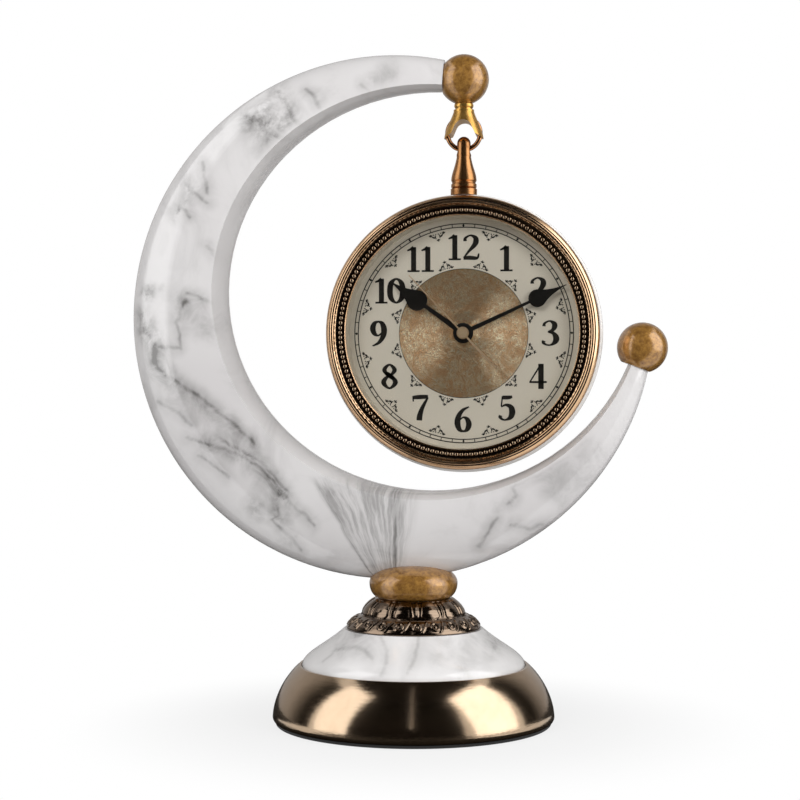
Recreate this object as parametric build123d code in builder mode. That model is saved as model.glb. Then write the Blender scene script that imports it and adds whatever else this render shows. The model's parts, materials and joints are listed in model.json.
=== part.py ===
import os
from math import cos, pi, radians, sin, sqrt
from build123d import *

os.makedirs("parts", exist_ok=True)

# base
pad_radius = 71.4
pad_thickness = 1.8
skirt_radius = 73.0
skirt_top = 30.2
skirt_wall = 1.2
skirt_flange = 7.0
seat_radius = 58.3
seat_depth = 1.7
lip_width = 1.3
fit_gap = 0.2
ballast_height = 15.0
ballast_margin = 6.0
dome_rise = 20.5
dome_top_radius = 36.0
collar_foot_radius = 34.8
collar_cup_radius = 26.8
collar_top_radius = 20.0
collar_height = 15.7
collar_leaves = 12
bead_radius = 22.9
bead_foot_radius = 18.5
bead_crown_radius = 6.0
bead_waist = 7.8
bead_height = 17.4
keel_sink = 7.2

# tie rod through the base
rod_radius = 4.0
rod_gap = 0.3
rod_reach = 22.0
washer_radius = 11.0
washer_thickness = 1.6
nut_height = 6.5
nut_flats = 13.0
insert_radius = 6.0
insert_length = 21.0
thread_gap = 0.05

# crescent
crescent_body = 27.9
outer_shift = -12.4
inner_shift_x = 22.3
inner_shift_z = 13.3
clock_room = 38.3
inner_flattening = 4.8
crescent_depth = 40.0
crescent_taper = 0.62
crown_ratio = 0.12
upper_tip_angle = 86.9
lower_tip_angle = -20.7
crescent_stations = 15

# balls, hook, ring and eye
finial_radius = 13.0
finial_seat = 10.4
finial_lean = 1.5
stud_radius = 2.4
stud_half = 9.0
hook_seat = 12.2
hook_drop = 15.7
hook_neck = 4.4
hook_ring = 5.0
hook_ring_height = 2.8
hook_collar = 5.3
hook_collar_height = 1.0
hook_groove = 0.8
claw_overhang = 1.7
claw_edge = 0.5
claw_throat = 6.2
hook_spigot_radius = 2.4
hook_spigot_length = 6.0
ring_radius = 8.5
ring_wire = 2.5
ring_gap = 0.15
ring_slit = 0.5
eye_radius = 3.5
eye_above = 6.8
eye_below = 3.4
eye_gap = 0.25
eye_flare = 0.3
eye_spigot_radius = 2.2
eye_spigot_length = 6.0
stem_length = 20.1
stem_bell = 13.6
stem_radius = 6.6
stem_groove = 0.5

# clock case
case_radius = 70.0
case_flare = 1.7
case_shoulder = 0.8
case_edge = 2.0
case_wall = 3.0
case_rear = 16.0
bezel_overlap = 2.0
bezel_rear = 6.0
bezel_lip = 15.0
bezel_groove = 17.0
bezel_face = 10.4
bezel_roll = 2.0
bezel_inner_roll = 1.8
roll_line = 0.3
roll_height = 17.6
inner_roll_rise = 1.6
bead_wall = 2.0
bead_row_inset = 2.6
bead_row_count = 126
bead_size = 1.25
glass_lap = 3.6
glass_thickness = 2.0
gasket_width = 2.0
gasket_thickness = 0.8
dial_thickness = 0.8
dial_front = 3.0
web_thickness = 2.0
web_width = 8.5
cover_thickness = 2.0
boss_radius = 4.0
boss_inset = 9.5
screw_radius = 1.5
screw_head = 2.8
screw_head_height = 1.1
stem_screw_radius = 2.0

# quartz movement
washer_rubber = 0.5
washer_rubber_radius = 14.0
movement_size = 56.0
movement_wall = 1.0
movement_depth = 13.5
movement_floor = 9.6
lid_thickness = 1.2
post_radius = 3.9
post_length = 3.1
dial_nut_radius = 4.9
dial_nut_height = 1.6
run_gap = 0.05
hour_pipe_radius = 2.5
minute_arbor_radius = 1.6
second_arbor_radius = 0.5
small_arbor_radius = 0.4
knob_shaft_radius = 1.2
knob_radius = 6.0
knob_height = 4.0
cell_radius = 7.1
cell_length = 50.4
cell_drop = 19.2
cell_nub = 1.2
cell_nub_radius = 2.7
contact_depth = 10.0
contact_height = 11.0
board_side = 12.0
board_foot = 9.0
board_thickness = 1.0
crystal_length = 6.0
crystal_width = 2.4
chip_radius = 2.6
chip_height = 1.4

# wheels: teeth and modules
motion_module = 0.55
cannon_teeth = 10
minute_wheel_teeth = 30
minute_pinion_teeth = 8
hour_wheel_teeth = 32
third_module = 0.3
second_pinion_teeth = 8
third_wheel_teeth = 60
third_pinion_teeth = 8
centre_wheel_teeth = 64
second_module = 0.36
second_wheel_teeth = 32
middle_pinion_teeth = 8
middle_module = 0.25
middle_wheel_teeth = 45
rotor_pinion_teeth = 6
minute_wheel_bearing = 45.0
third_bearing = 150.0
middle_bearing = -15.0
rotor_bearing = 0.0
wheel_thickness = 0.8
motion_wheel_thickness = 1.0
pinion_length = 1.0
pivot_depth = 0.6
plate_thickness = 0.8
rotor_radius = 3.0
magnet_thickness = 1.5
stator_gap = 0.4
coil_radius = 2.3
coil_length = 15.0
coil_flange = 0.8
core_width = 2.0
core_thickness = 1.2

# how far each level lies behind the movement's front wall
hour_wheel_sink = 1.4
cannon_sink = 2.7
centre_wheel_sink = 4.0
arbor_sink = 4.4
third_wheel_sink = 5.6
plate_sink = 5.9
second_wheel_sink = 7.8
middle_wheel_sink = 9.3
board_sink = 9.6
stator_sink = 10.1
magnet_sink = 11.4
hand_step = 1.5

# hands, angles clockwise from twelve
minute_angle = 65.2
hour_angle = 300.0 + minute_angle / 12
second_angle = 317.0
hand_thickness = 0.5
hand_clearance = 1.2
hour_shorter = 11.9
hour_hub = 5.2
minute_hub = 4.4
second_cap = 3.2
hand_tip = 0.15
second_length = 40.8
second_tail = 24.4

# sizes that follow the case
body_radius = case_radius + case_flare
sight_radius = case_radius - bezel_face
bead_row_radius = sight_radius + bead_row_inset
glass_radius = sight_radius + glass_lap
boss_circle = case_radius - boss_inset
minute_length = sight_radius - hand_clearance
hour_length = minute_length - hour_shorter
inner_half_width = case_radius + clock_room
inner_half_height = inner_half_width - inner_flattening
outer_radius = inner_half_width + crescent_body

# heights up the stand
seat_z = skirt_top - seat_depth
dome_top_z = seat_z + dome_rise
collar_top_z = dome_top_z + collar_height
bead_top_z = collar_top_z + bead_height
keel_z = bead_top_z - keel_sink
outer_z = keel_z + sqrt(outer_radius**2 - outer_shift**2)
inner_x = outer_shift + inner_shift_x
inner_z = outer_z + inner_shift_z


def crescent_radii(angle):
    ux = cos(radians(angle))
    uz = sin(radians(angle))
    along = -inner_shift_x * ux - inner_shift_z * uz
    away = inner_shift_x**2 + inner_shift_z**2
    outside = along + sqrt(outer_radius**2 - away + along**2)
    inside = 1 / sqrt((ux / inner_half_width) ** 2 + (uz / inner_half_height) ** 2)
    return inside, outside


def crescent_plane(angle):
    ux = cos(radians(angle))
    uz = sin(radians(angle))
    return Plane(origin=(inner_x, 0, inner_z), x_dir=(ux, 0, uz), z_dir=(-uz, 0, ux))


def tip_seat(angle):
    return (0.5 * sum(crescent_radii(angle)) - finial_lean, 0)


def tip_point(angle, forward):
    return crescent_plane(angle).from_local_coords((*tip_seat(angle), forward))


widest = max(crescent_radii(a)[1] - crescent_radii(a)[0] for a in range(180, 260, 2))
upper_ball = tip_point(upper_tip_angle, -finial_seat)
lower_ball = tip_point(lower_tip_angle, finial_seat)

# the hanging line
hang_x = upper_ball.X
ring_z = upper_ball.Z - hook_seat - hook_drop
wire_z = ring_z - ring_radius
eye_seam_z = wire_z - eye_below
case_top_z = eye_seam_z - stem_length
clock_z = case_top_z - body_radius

hang_section = Plane(origin=(hang_x, 0, ring_z), x_dir=(1, 0, 0), z_dir=(0, -1, 0))
hang_axis = Axis((hang_x, 0, ring_z), (0, 0, 1))
clock_section = Plane(origin=(hang_x, 0, clock_z), x_dir=(1, 0, 0), z_dir=(0, 0, -1))
clock_axis = Axis((hang_x, 0, clock_z), (0, 1, 0))


def face_at(forward, x=0.0, up=0.0, turn=0.0):
    across = (cos(radians(turn)), 0, sin(radians(turn)))
    return Plane(origin=(hang_x + x, -forward, clock_z + up), x_dir=across, z_dir=(0, -1, 0))


def keep(piece, name):
    piece.part.label = name
    export_step(piece.part, f"parts/{name}.step")


# floor pad
with BuildPart() as base_pad:
    with BuildSketch():
        Circle(pad_radius)
    extrude(amount=pad_thickness)
    chamfer(base_pad.edges().group_by(Axis.Z)[0], length=0.4)
keep(base_pad, "base_pad")

# spun skirt with a seat for the dome
with BuildPart() as base_skirt:
    with BuildSketch(Plane.XZ):
        with BuildLine():
            foot = (skirt_radius - 1.0, pad_thickness)
            belly = (skirt_radius, pad_thickness + 2.4)
            lip = (seat_radius + lip_width, skirt_top)
            ThreePointArc(foot, (skirt_radius - 0.3, pad_thickness + 0.8), belly)
            Bezier(
                belly,
                (skirt_radius - 0.4, belly[1] + 0.34 * (skirt_top - belly[1])),
                (lip[0] + 7.4, belly[1] + 0.76 * (skirt_top - belly[1])),
                lip,
            )
            Polyline(lip, (seat_radius, skirt_top), (seat_radius, seat_z), (0, seat_z))
            Polyline((0, seat_z), (0, pad_thickness), foot)
        make_face()
    revolve(axis=Axis.Z)
    with BuildSketch(Plane.XZ):
        with BuildLine():
            hollow_foot = (skirt_radius - skirt_wall, pad_thickness + skirt_wall)
            hollow_top = (seat_radius - 1.5, seat_z - skirt_wall)
            Bezier(
                hollow_foot,
                (hollow_foot[0] - 0.3, hollow_foot[1] + 0.34 * (skirt_top - belly[1])),
                (hollow_top[0] + 8.0, belly[1] + 0.72 * (skirt_top - belly[1])),
                hollow_top,
            )
            Polyline(hollow_top, (0, hollow_top[1]), (0, hollow_foot[1]), hollow_foot)
        make_face()
    revolve(axis=Axis.Z, mode=Mode.SUBTRACT)
    with BuildSketch(Plane.XY.offset(pad_thickness)):
        Circle(skirt_radius - 1.0 - skirt_flange)
    extrude(amount=skirt_wall, mode=Mode.SUBTRACT)
    with BuildSketch(Plane.XY.offset(seat_z)):
        Circle(rod_radius + rod_gap)
    extrude(amount=-2 * skirt_wall, mode=Mode.SUBTRACT)
keep(base_skirt, "base_skirt")

# iron ballast under the seat
ballast_top = seat_z - skirt_wall
ballast_bottom = ballast_top - ballast_height
with BuildPart() as ballast_disc:
    with BuildSketch(Plane.XY.offset(ballast_bottom)):
        Circle(seat_radius - ballast_margin)
        Circle(rod_radius + rod_gap, mode=Mode.SUBTRACT)
    extrude(amount=ballast_height)
    chamfer(ballast_disc.edges().filter_by(GeomType.CIRCLE).group_by(SortBy.RADIUS)[-1], length=1.5)
keep(ballast_disc, "ballast_disc")

with BuildPart() as rod_washer:
    with BuildSketch(Plane.XY.offset(ballast_bottom - washer_thickness)):
        Circle(washer_radius)
        Circle(rod_radius + rod_gap, mode=Mode.SUBTRACT)
    extrude(amount=washer_thickness)
keep(rod_washer, "rod_washer")

nut_top = ballast_bottom - washer_thickness
with BuildPart() as rod_nut:
    with BuildSketch(Plane.XY.offset(nut_top - nut_height)):
        RegularPolygon(nut_flats / 2, 6, major_radius=False)
        Circle(rod_radius + thread_gap, mode=Mode.SUBTRACT)
    extrude(amount=nut_height)
keep(rod_nut, "rod_nut")

rod_bottom = nut_top - nut_height - 0.6
rod_top = keel_z + rod_reach
with BuildPart() as tie_rod:
    with BuildSketch(Plane.XY.offset(rod_bottom)):
        Circle(rod_radius)
    extrude(amount=rod_top - rod_bottom)
    chamfer(tie_rod.edges().filter_by(GeomType.CIRCLE), length=0.6)
keep(tie_rod, "tie_rod")

# dome
with BuildPart() as marble_dome:
    with BuildSketch(Plane.XZ):
        with BuildLine():
            edge = seat_radius - fit_gap
            bore = rod_radius + rod_gap
            Polyline((bore, dome_top_z), (bore, seat_z), (edge, seat_z), (edge - 0.2, seat_z + 2.0))
            Bezier(
                (edge - 0.2, seat_z + 2.0),
                (edge - 1.0, seat_z + 7.5),
                (dome_top_radius + 10.0, dome_top_z - 9.0),
                (dome_top_radius, dome_top_z),
            )
            Line((dome_top_radius, dome_top_z), (bore, dome_top_z))
        make_face()
    revolve(axis=Axis.Z)
keep(marble_dome, "marble_dome")

# leaf collar
with BuildPart() as leaf_collar:
    with BuildSketch(Plane.XZ):
        with BuildLine():
            foot = collar_foot_radius
            cup = collar_cup_radius
            shoulder = dome_top_z + 0.38 * collar_height
            Polyline((bore, collar_top_z), (bore, dome_top_z), (foot, dome_top_z), (foot, dome_top_z + 1.6))
            ThreePointArc(
                (foot, dome_top_z + 1.6),
                (0.42 * cup + 0.58 * foot, dome_top_z + 0.24 * collar_height),
                (cup - 0.8, shoulder),
            )
            Line((cup - 0.8, shoulder), (cup, shoulder + 1.2))
            ThreePointArc(
                (cup, shoulder + 1.2),
                (cup - 1.6, dome_top_z + 0.75 * collar_height),
                (collar_top_radius, collar_top_z),
            )
            Line((collar_top_radius, collar_top_z), (bore, collar_top_z))
        make_face()
    revolve(axis=Axis.Z)
    with Locations((0, 0, dome_top_z + 0.82 * collar_height)):
        with PolarLocations(cup - 1.0, collar_leaves):
            Cylinder(2.2, 13.0, rotation=(0, -40, 0), mode=Mode.SUBTRACT)
    with Locations((0, 0, dome_top_z + 0.32 * collar_height)):
        with PolarLocations(0.5 * (foot + cup) + 1.5, 2 * collar_leaves, start_angle=90 / collar_leaves):
            Cylinder(1.1, 14.0, rotation=(0, -60, 0), mode=Mode.SUBTRACT)
keep(leaf_collar, "leaf_collar")

# crescent: sections lofted around the inner curve
with BuildPart() as crescent:
    sweep_angle = 360 + lower_tip_angle - upper_tip_angle
    for station in range(crescent_stations):
        angle = upper_tip_angle + sweep_angle * station / (crescent_stations - 1)
        inside, outside = crescent_radii(angle)
        half = 0.5 * crescent_depth * ((outside - inside) / widest) ** crescent_taper
        arris = inside + 2 * half * crown_ratio
        run = outside - arris
        with BuildSketch(crescent_plane(angle)):
            with BuildLine():
                ThreePointArc((arris, half), (inside, 0), (arris, -half))
                Bezier((arris, -half), (arris + 0.55 * run, -half), (outside, -0.55 * half), (outside, 0))
                Bezier((outside, 0), (outside, 0.55 * half), (arris + 0.55 * run, half), (arris, half))
            make_face()
    loft()
    with BuildSketch(Plane.XY.offset(keel_z + rod_reach + 1.0)):
        Circle(insert_radius + thread_gap)
    extrude(amount=-rod_reach - 6.0, mode=Mode.SUBTRACT)
    for angle, direction in ((upper_tip_angle, 1), (lower_tip_angle, -1)):
        seat = crescent_plane(angle)
        with BuildSketch(seat):
            with Locations(tip_seat(angle)):
                Circle(stud_radius + thread_gap)
        extrude(amount=direction * (stud_half + 0.5), mode=Mode.SUBTRACT)
keep(crescent, "crescent")

# saddle bead, cut to the keel
with BuildPart() as saddle_bead:
    with BuildSketch(Plane.XZ):
        with BuildLine():
            waist_z = collar_top_z + bead_waist
            Polyline((bore, bead_top_z), (bore, collar_top_z), (bead_foot_radius, collar_top_z))
            Bezier(
                (bead_foot_radius, collar_top_z),
                (0.4 * bead_foot_radius + 0.6 * bead_radius, collar_top_z + 0.15 * bead_waist),
                (bead_radius, waist_z - 0.5 * bead_waist),
                (bead_radius, waist_z),
            )
            Bezier(
                (bead_radius, waist_z),
                (bead_radius, 0.45 * waist_z + 0.55 * bead_top_z),
                (0.45 * bead_crown_radius + 0.55 * bead_radius, bead_top_z),
                (bead_crown_radius, bead_top_z),
            )
            Line((bead_crown_radius, bead_top_z), (bore, bead_top_z))
        make_face()
    revolve(axis=Axis.Z)
    add(crescent.part, mode=Mode.SUBTRACT)
    with BuildSketch(Plane.XY.offset(collar_top_z)):
        Circle(insert_radius + fit_gap)
    extrude(amount=bead_height, mode=Mode.SUBTRACT)
keep(saddle_bead, "saddle_bead")

with BuildPart() as keel_insert:
    with BuildSketch(Plane.XY.offset(rod_top + 0.6)):
        Circle(insert_radius)
        Circle(rod_radius + thread_gap, mode=Mode.SUBTRACT)
    extrude(amount=-insert_length)
    with BuildSketch(Plane.XY.offset(rod_top + 0.6)):
        Circle(insert_radius)
    extrude(amount=0.4)
keep(keel_insert, "keel_insert")

# balls on the crescent tips, with the studs that hold them
with BuildPart() as upper_finial:
    with Locations(upper_ball):
        Sphere(finial_radius)
    with BuildSketch(crescent_plane(upper_tip_angle)):
        with Locations(tip_seat(upper_tip_angle)):
            Circle(finial_radius)
    extrude(amount=finial_radius, mode=Mode.SUBTRACT)
    with BuildSketch(crescent_plane(upper_tip_angle)):
        with Locations(tip_seat(upper_tip_angle)):
            Circle(stud_radius + thread_gap)
    extrude(amount=-stud_half - 0.5, mode=Mode.SUBTRACT)
    with BuildSketch(Plane.XY.offset(upper_ball.Z - hook_seat)):
        with Locations((hang_x, 0)):
            Circle(finial_radius)
    extrude(amount=-finial_radius, mode=Mode.SUBTRACT)
    with BuildSketch(Plane.XY.offset(upper_ball.Z - hook_seat)):
        with Locations((hang_x, 0)):
            Circle(hook_spigot_radius + thread_gap)
    extrude(amount=hook_spigot_length + 0.5, mode=Mode.SUBTRACT)
keep(upper_finial, "upper_finial")

with BuildPart() as lower_finial:
    with Locations(lower_ball):
        Sphere(finial_radius)
    with BuildSketch(crescent_plane(lower_tip_angle)):
        with Locations(tip_seat(lower_tip_angle)):
            Circle(finial_radius)
    extrude(amount=-finial_radius, mode=Mode.SUBTRACT)
    with BuildSketch(crescent_plane(lower_tip_angle)):
        with Locations(tip_seat(lower_tip_angle)):
            Circle(stud_radius + thread_gap)
    extrude(amount=stud_half + 0.5, mode=Mode.SUBTRACT)
keep(lower_finial, "lower_finial")

with BuildPart() as upper_stud:
    with BuildSketch(crescent_plane(upper_tip_angle)):
        with Locations(tip_seat(upper_tip_angle)):
            Circle(stud_radius)
    extrude(amount=stud_half, both=True)
keep(upper_stud, "upper_stud")

with BuildPart() as lower_stud:
    with BuildSketch(crescent_plane(lower_tip_angle)):
        with Locations(tip_seat(lower_tip_angle)):
            Circle(stud_radius)
    extrude(amount=stud_half, both=True)
keep(lower_stud, "lower_stud")

# claw hook: a bell with an arch cut through it and a tunnel for the ring
wire_radius = ring_wire / 2
claw_tip = -0.32 * ring_radius
claw_outer = ring_radius + claw_overhang
ring_foot = hook_drop - hook_ring_height
collar_foot = ring_foot - hook_groove - hook_collar_height
with BuildPart() as claw_hook:
    with BuildSketch(hang_section):
        with BuildLine():
            Polyline(
                (0, hook_drop + hook_spigot_length),
                (hook_spigot_radius, hook_drop + hook_spigot_length),
                (hook_spigot_radius, hook_drop),
                (hook_neck, hook_drop),
            )
            ThreePointArc(
                (hook_neck, hook_drop), (hook_ring, 0.5 * (hook_drop + ring_foot)), (hook_neck, ring_foot)
            )
            Polyline(
                (hook_neck, ring_foot),
                (hook_neck, ring_foot - hook_groove),
                (hook_collar, ring_foot - hook_groove),
                (hook_collar, collar_foot),
            )
            Spline(
                (hook_collar, collar_foot),
                (0.78 * claw_outer, 0.55 * ring_radius),
                (0.95 * claw_outer, 0),
                (claw_outer, claw_tip),
            )
            Polyline((claw_outer, claw_tip), (0, claw_tip), (0, hook_drop + hook_spigot_length))
        make_face()
    revolve(axis=hang_axis)
    with BuildSketch(hang_section):
        with BuildLine():
            arch_top = ring_radius - wire_radius - ring_gap - 0.9
            Polyline(
                (0.5 * ring_radius, 0.56 * arch_top),
                (claw_throat, 0.3 * claw_tip),
                (claw_outer - claw_edge, claw_tip),
                (claw_outer - claw_edge, claw_tip - 2),
                (claw_edge - claw_outer, claw_tip - 2),
                (claw_edge - claw_outer, claw_tip),
                (-claw_throat, 0.3 * claw_tip),
                (-0.5 * ring_radius, 0.56 * arch_top),
            )
            ThreePointArc(
                (-0.5 * ring_radius, 0.56 * arch_top), (0, arch_top), (0.5 * ring_radius, 0.56 * arch_top)
            )
        make_face()
    extrude(amount=claw_outer, both=True, mode=Mode.SUBTRACT)
    with Locations(hang_section):
        Torus(ring_radius, wire_radius + ring_gap, mode=Mode.SUBTRACT)
keep(claw_hook, "claw_hook")

with BuildPart() as hang_ring:
    with Locations(hang_section):
        Torus(ring_radius, wire_radius)
        with Locations((0, ring_radius, 0)):
            Box(ring_slit, 2 * ring_wire, 2 * ring_wire, mode=Mode.SUBTRACT)
keep(hang_ring, "hang_ring")

# bail eye with an hourglass bore round the ring's wire
with BuildPart() as bail_eye:
    with BuildSketch(hang_section):
        with BuildLine():
            seam = -ring_radius - eye_below
            top = -ring_radius + eye_above
            Polyline(
                (0, top),
                (0, seam - eye_spigot_length),
                (eye_spigot_radius, seam - eye_spigot_length),
                (eye_spigot_radius, seam),
                (eye_radius + eye_flare, seam),
                (eye_radius, top - eye_radius),
            )
            ThreePointArc(
                (eye_radius, top - eye_radius),
                (eye_radius * sin(pi / 4), top - eye_radius + eye_radius * cos(pi / 4)),
                (0, top),
            )
        make_face()
    revolve(axis=hang_axis)
    flare = eye_radius + 0.6
    throat = wire_radius + eye_gap
    rise = ring_radius - sqrt(ring_radius**2 - flare**2)
    with BuildSketch(hang_section):
        with BuildLine():
            ThreePointArc(
                (-flare, -ring_radius + throat + 1.25 * rise),
                (0, -ring_radius + throat),
                (flare, -ring_radius + throat + 1.25 * rise),
            )
            Polyline(
                (flare, -ring_radius + throat + 1.25 * rise), (flare, -ring_radius), (-flare, -ring_radius),
                (-flare, -ring_radius + throat + 1.25 * rise),
            )
        make_face()
    revolve(axis=Axis((hang_x, 0, wire_z), (1, 0, 0)), mode=Mode.SUBTRACT)
keep(bail_eye, "bail_eye")

# bell stem on top of the case
with BuildPart() as pendant_stem:
    with BuildSketch(hang_section):
        with BuildLine():
            foot = seam - stem_length
            waist = seam - stem_bell
            stem_top = eye_radius + 0.5 * eye_flare
            Line((0, seam), (stem_top, seam))
            Spline(
                (stem_top, seam),
                (0.5 * (stem_top + stem_radius), seam - 0.45 * stem_bell),
                (stem_radius, waist + 2 * stem_groove),
                tangents=((0.15, -1), (0.05, -1)),
            )
            Polyline(
                (stem_radius, waist + 2 * stem_groove),
                (stem_radius - stem_groove, waist),
                (stem_radius - stem_groove, waist - stem_groove),
                (stem_radius, waist - 2 * stem_groove),
                (stem_radius, waist - 5 * stem_groove),
                (stem_radius - stem_groove, waist - 6 * stem_groove),
                (stem_radius + 0.5 * stem_groove, waist - 7 * stem_groove),
                (stem_radius + 0.5 * stem_groove, foot - 2.0),
                (0, foot - 2.0),
                (0, seam),
            )
        make_face()
    revolve(axis=hang_axis)
    with BuildSketch(Plane.XY.offset(eye_seam_z)):
        with Locations((hang_x, 0)):
            Circle(eye_spigot_radius + thread_gap)
    extrude(amount=-eye_spigot_length - 0.5, mode=Mode.SUBTRACT)
    with BuildSketch(Plane.XY.offset(case_top_z - 3)):
        with Locations((hang_x, 0)):
            Circle(stem_screw_radius + thread_gap)
    extrude(amount=0.45 * stem_length + 3, mode=Mode.SUBTRACT)
    with BuildSketch(face_at(-2 * stem_radius)):
        Circle(body_radius)
    extrude(amount=4 * stem_radius, mode=Mode.SUBTRACT)
keep(pendant_stem, "pendant_stem")

with BuildPart() as stem_screw:
    with BuildSketch(Plane.XY.offset(case_top_z - case_wall - 1.0)):
        with Locations((hang_x, 0)):
            Circle(stem_screw_radius)
    extrude(amount=case_wall + 1.0 + 0.4 * stem_length)
    with BuildSketch(Plane.XY.offset(case_top_z - case_wall - 0.25)):
        with Locations((hang_x, 0)):
            Circle(2 * stem_screw_radius)
    extrude(amount=-2.4)
keep(stem_screw, "stem_screw")

# case shell
spigot_radius = case_radius - bezel_overlap
bore_radius = glass_radius + fit_gap
dial_rear = dial_front - dial_thickness
web_rear = dial_rear - web_thickness
cover_seat = cover_thickness - case_rear
with BuildPart() as case_shell:
    with BuildSketch(clock_section):
        with BuildLine():
            shoulder = bezel_rear - case_shoulder
            ThreePointArc(
                (case_radius, shoulder),
                (case_radius + case_flare * sin(pi / 4), shoulder - case_flare * (1 - cos(pi / 4))),
                (body_radius, shoulder - case_flare),
            )
            Line((body_radius, shoulder - case_flare), (body_radius, case_edge - case_rear))
            ThreePointArc(
                (body_radius, case_edge - case_rear),
                (body_radius - case_edge * (1 - cos(pi / 4)), case_edge * (1 - sin(pi / 4)) - case_rear),
                (body_radius - case_edge, -case_rear),
            )
            Polyline(
                (body_radius - case_edge, -case_rear),
                (body_radius - case_wall, -case_rear),
                (body_radius - case_wall, web_rear),
                (bore_radius - web_width, web_rear),
                (bore_radius - web_width, dial_rear),
                (bore_radius, dial_rear),
                (bore_radius, bezel_lip - 0.2),
                (spigot_radius, bezel_lip - 0.2),
                (spigot_radius, bezel_rear),
                (case_radius, bezel_rear),
                (case_radius, shoulder),
            )
        make_face()
    revolve(axis=clock_axis)
    with BuildSketch(face_at(cover_seat)):
        with PolarLocations(boss_circle, 4, start_angle=45):
            Circle(boss_radius)
    extrude(amount=web_rear - cover_seat)
    with BuildSketch(face_at(cover_seat)):
        with PolarLocations(boss_circle, 4, start_angle=45):
            Circle(screw_radius + thread_gap)
    extrude(amount=8.5, mode=Mode.SUBTRACT)
    with BuildSketch(Plane.XY.offset(case_top_z - case_wall - 1.0)):
        with Locations((hang_x, 0)):
            Circle(stem_screw_radius + fit_gap)
    extrude(amount=case_wall + 2.0, mode=Mode.SUBTRACT)
    with BuildSketch(Plane.XY.offset(case_top_z - case_wall - 0.25)):
        with Locations((hang_x, 0)):
            Circle(2 * stem_screw_radius + fit_gap)
    extrude(amount=-3.0, mode=Mode.SUBTRACT)
keep(case_shell, "case_shell")

movement_half = movement_size / 2
with BuildPart() as rear_cover:
    with BuildSketch(face_at(-case_rear)):
        Circle(body_radius - case_wall - fit_gap)
        RectangleRounded(movement_size + 1.6, movement_size + 1.6, 3.8, mode=Mode.SUBTRACT)
        with PolarLocations(boss_circle, 4, start_angle=45):
            Circle(screw_radius + fit_gap, mode=Mode.SUBTRACT)
    extrude(amount=cover_thickness)
    with BuildSketch(face_at(-case_rear)):
        with PolarLocations(boss_circle, 4, start_angle=45):
            Circle(screw_head + fit_gap)
    extrude(amount=screw_head_height, mode=Mode.SUBTRACT)
keep(rear_cover, "rear_cover")

with BuildPart() as cover_screws:
    with BuildSketch(face_at(-case_rear)):
        with PolarLocations(boss_circle, 4, start_angle=45):
            Circle(screw_head)
    extrude(amount=screw_head_height)
    with BuildSketch(face_at(screw_head_height - case_rear)):
        with PolarLocations(boss_circle, 4, start_angle=45):
            Circle(screw_radius)
    extrude(amount=8.0)
    with BuildSketch(face_at(-case_rear)):
        with PolarLocations(boss_circle, 4, start_angle=45):
            Rectangle(3.2, 0.7)
            Rectangle(0.7, 3.2)
    extrude(amount=0.7, mode=Mode.SUBTRACT)
keep(cover_screws, "cover_screws")

# bezel, bead row, glass and the ring behind it
with BuildPart() as bezel:
    with BuildSketch(clock_section):
        with BuildLine():
            skirt_inner = spigot_radius + fit_gap
            roll_edge = case_radius - bezel_roll
            inner_roll = roll_edge - 2 * roll_line
            inner_edge = inner_roll - bezel_inner_roll
            channel = bead_row_radius + bead_wall
            roll_rear = bezel_lip - bezel_roll
            inner_foot = roll_height + 0.6 * inner_roll_rise
            Polyline(
                (channel, bezel_groove),
                (bead_row_radius - bead_wall, bezel_groove),
                (bead_row_radius - bead_wall, bezel_groove + 0.8),
                (sight_radius + 0.4, bezel_groove + 0.8),
                (sight_radius, bezel_groove + 0.3),
                (sight_radius, bezel_lip),
                (skirt_inner, bezel_lip),
                (skirt_inner, bezel_rear),
                (case_radius, bezel_rear),
                (case_radius, roll_rear),
            )
            ThreePointArc(
                (case_radius, roll_rear),
                (case_radius - 0.3 * bezel_roll, 0.3 * roll_rear + 0.7 * roll_height),
                (roll_edge, roll_height),
            )
            Polyline(
                (roll_edge, roll_height),
                (roll_edge - roll_line, roll_height - 2 * roll_line),
                (inner_roll, roll_height),
            )
            ThreePointArc(
                (inner_roll, roll_height),
                (inner_roll - 0.45 * bezel_inner_roll, roll_height + inner_roll_rise),
                (inner_edge, inner_foot),
            )
            ThreePointArc(
                (inner_edge, inner_foot),
                (0.5 * (inner_edge + channel), 0.35 * inner_foot + 0.65 * bezel_groove),
                (channel, bezel_groove + 0.3),
            )
            Line((channel, bezel_groove + 0.3), (channel, bezel_groove))
        make_face()
    revolve(axis=clock_axis)
keep(bezel, "bezel")

with BuildPart() as bead_row:
    with BuildSketch(face_at(bezel_groove)):
        Circle(bead_row_radius + 1.7)
        Circle(bead_row_radius - 1.7, mode=Mode.SUBTRACT)
    extrude(amount=0.4)
    with BuildSketch(face_at(bezel_groove + 0.4)):
        with PolarLocations(bead_row_radius, bead_row_count):
            RegularPolygon(bead_size, 6)
    extrude(amount=1.1, taper=28)
keep(bead_row, "bead_row")

with BuildPart() as glass:
    with BuildSketch(face_at(bezel_lip - glass_thickness)):
        Circle(glass_radius)
    extrude(amount=glass_thickness)
    chamfer(glass.edges(), length=0.3)
keep(glass, "glass")

gasket_rear = bezel_lip - glass_thickness - gasket_thickness
with BuildPart() as glass_gasket:
    with BuildSketch(face_at(gasket_rear)):
        Circle(glass_radius)
        Circle(glass_radius - gasket_width, mode=Mode.SUBTRACT)
    extrude(amount=gasket_thickness)
keep(glass_gasket, "glass_gasket")

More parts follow.
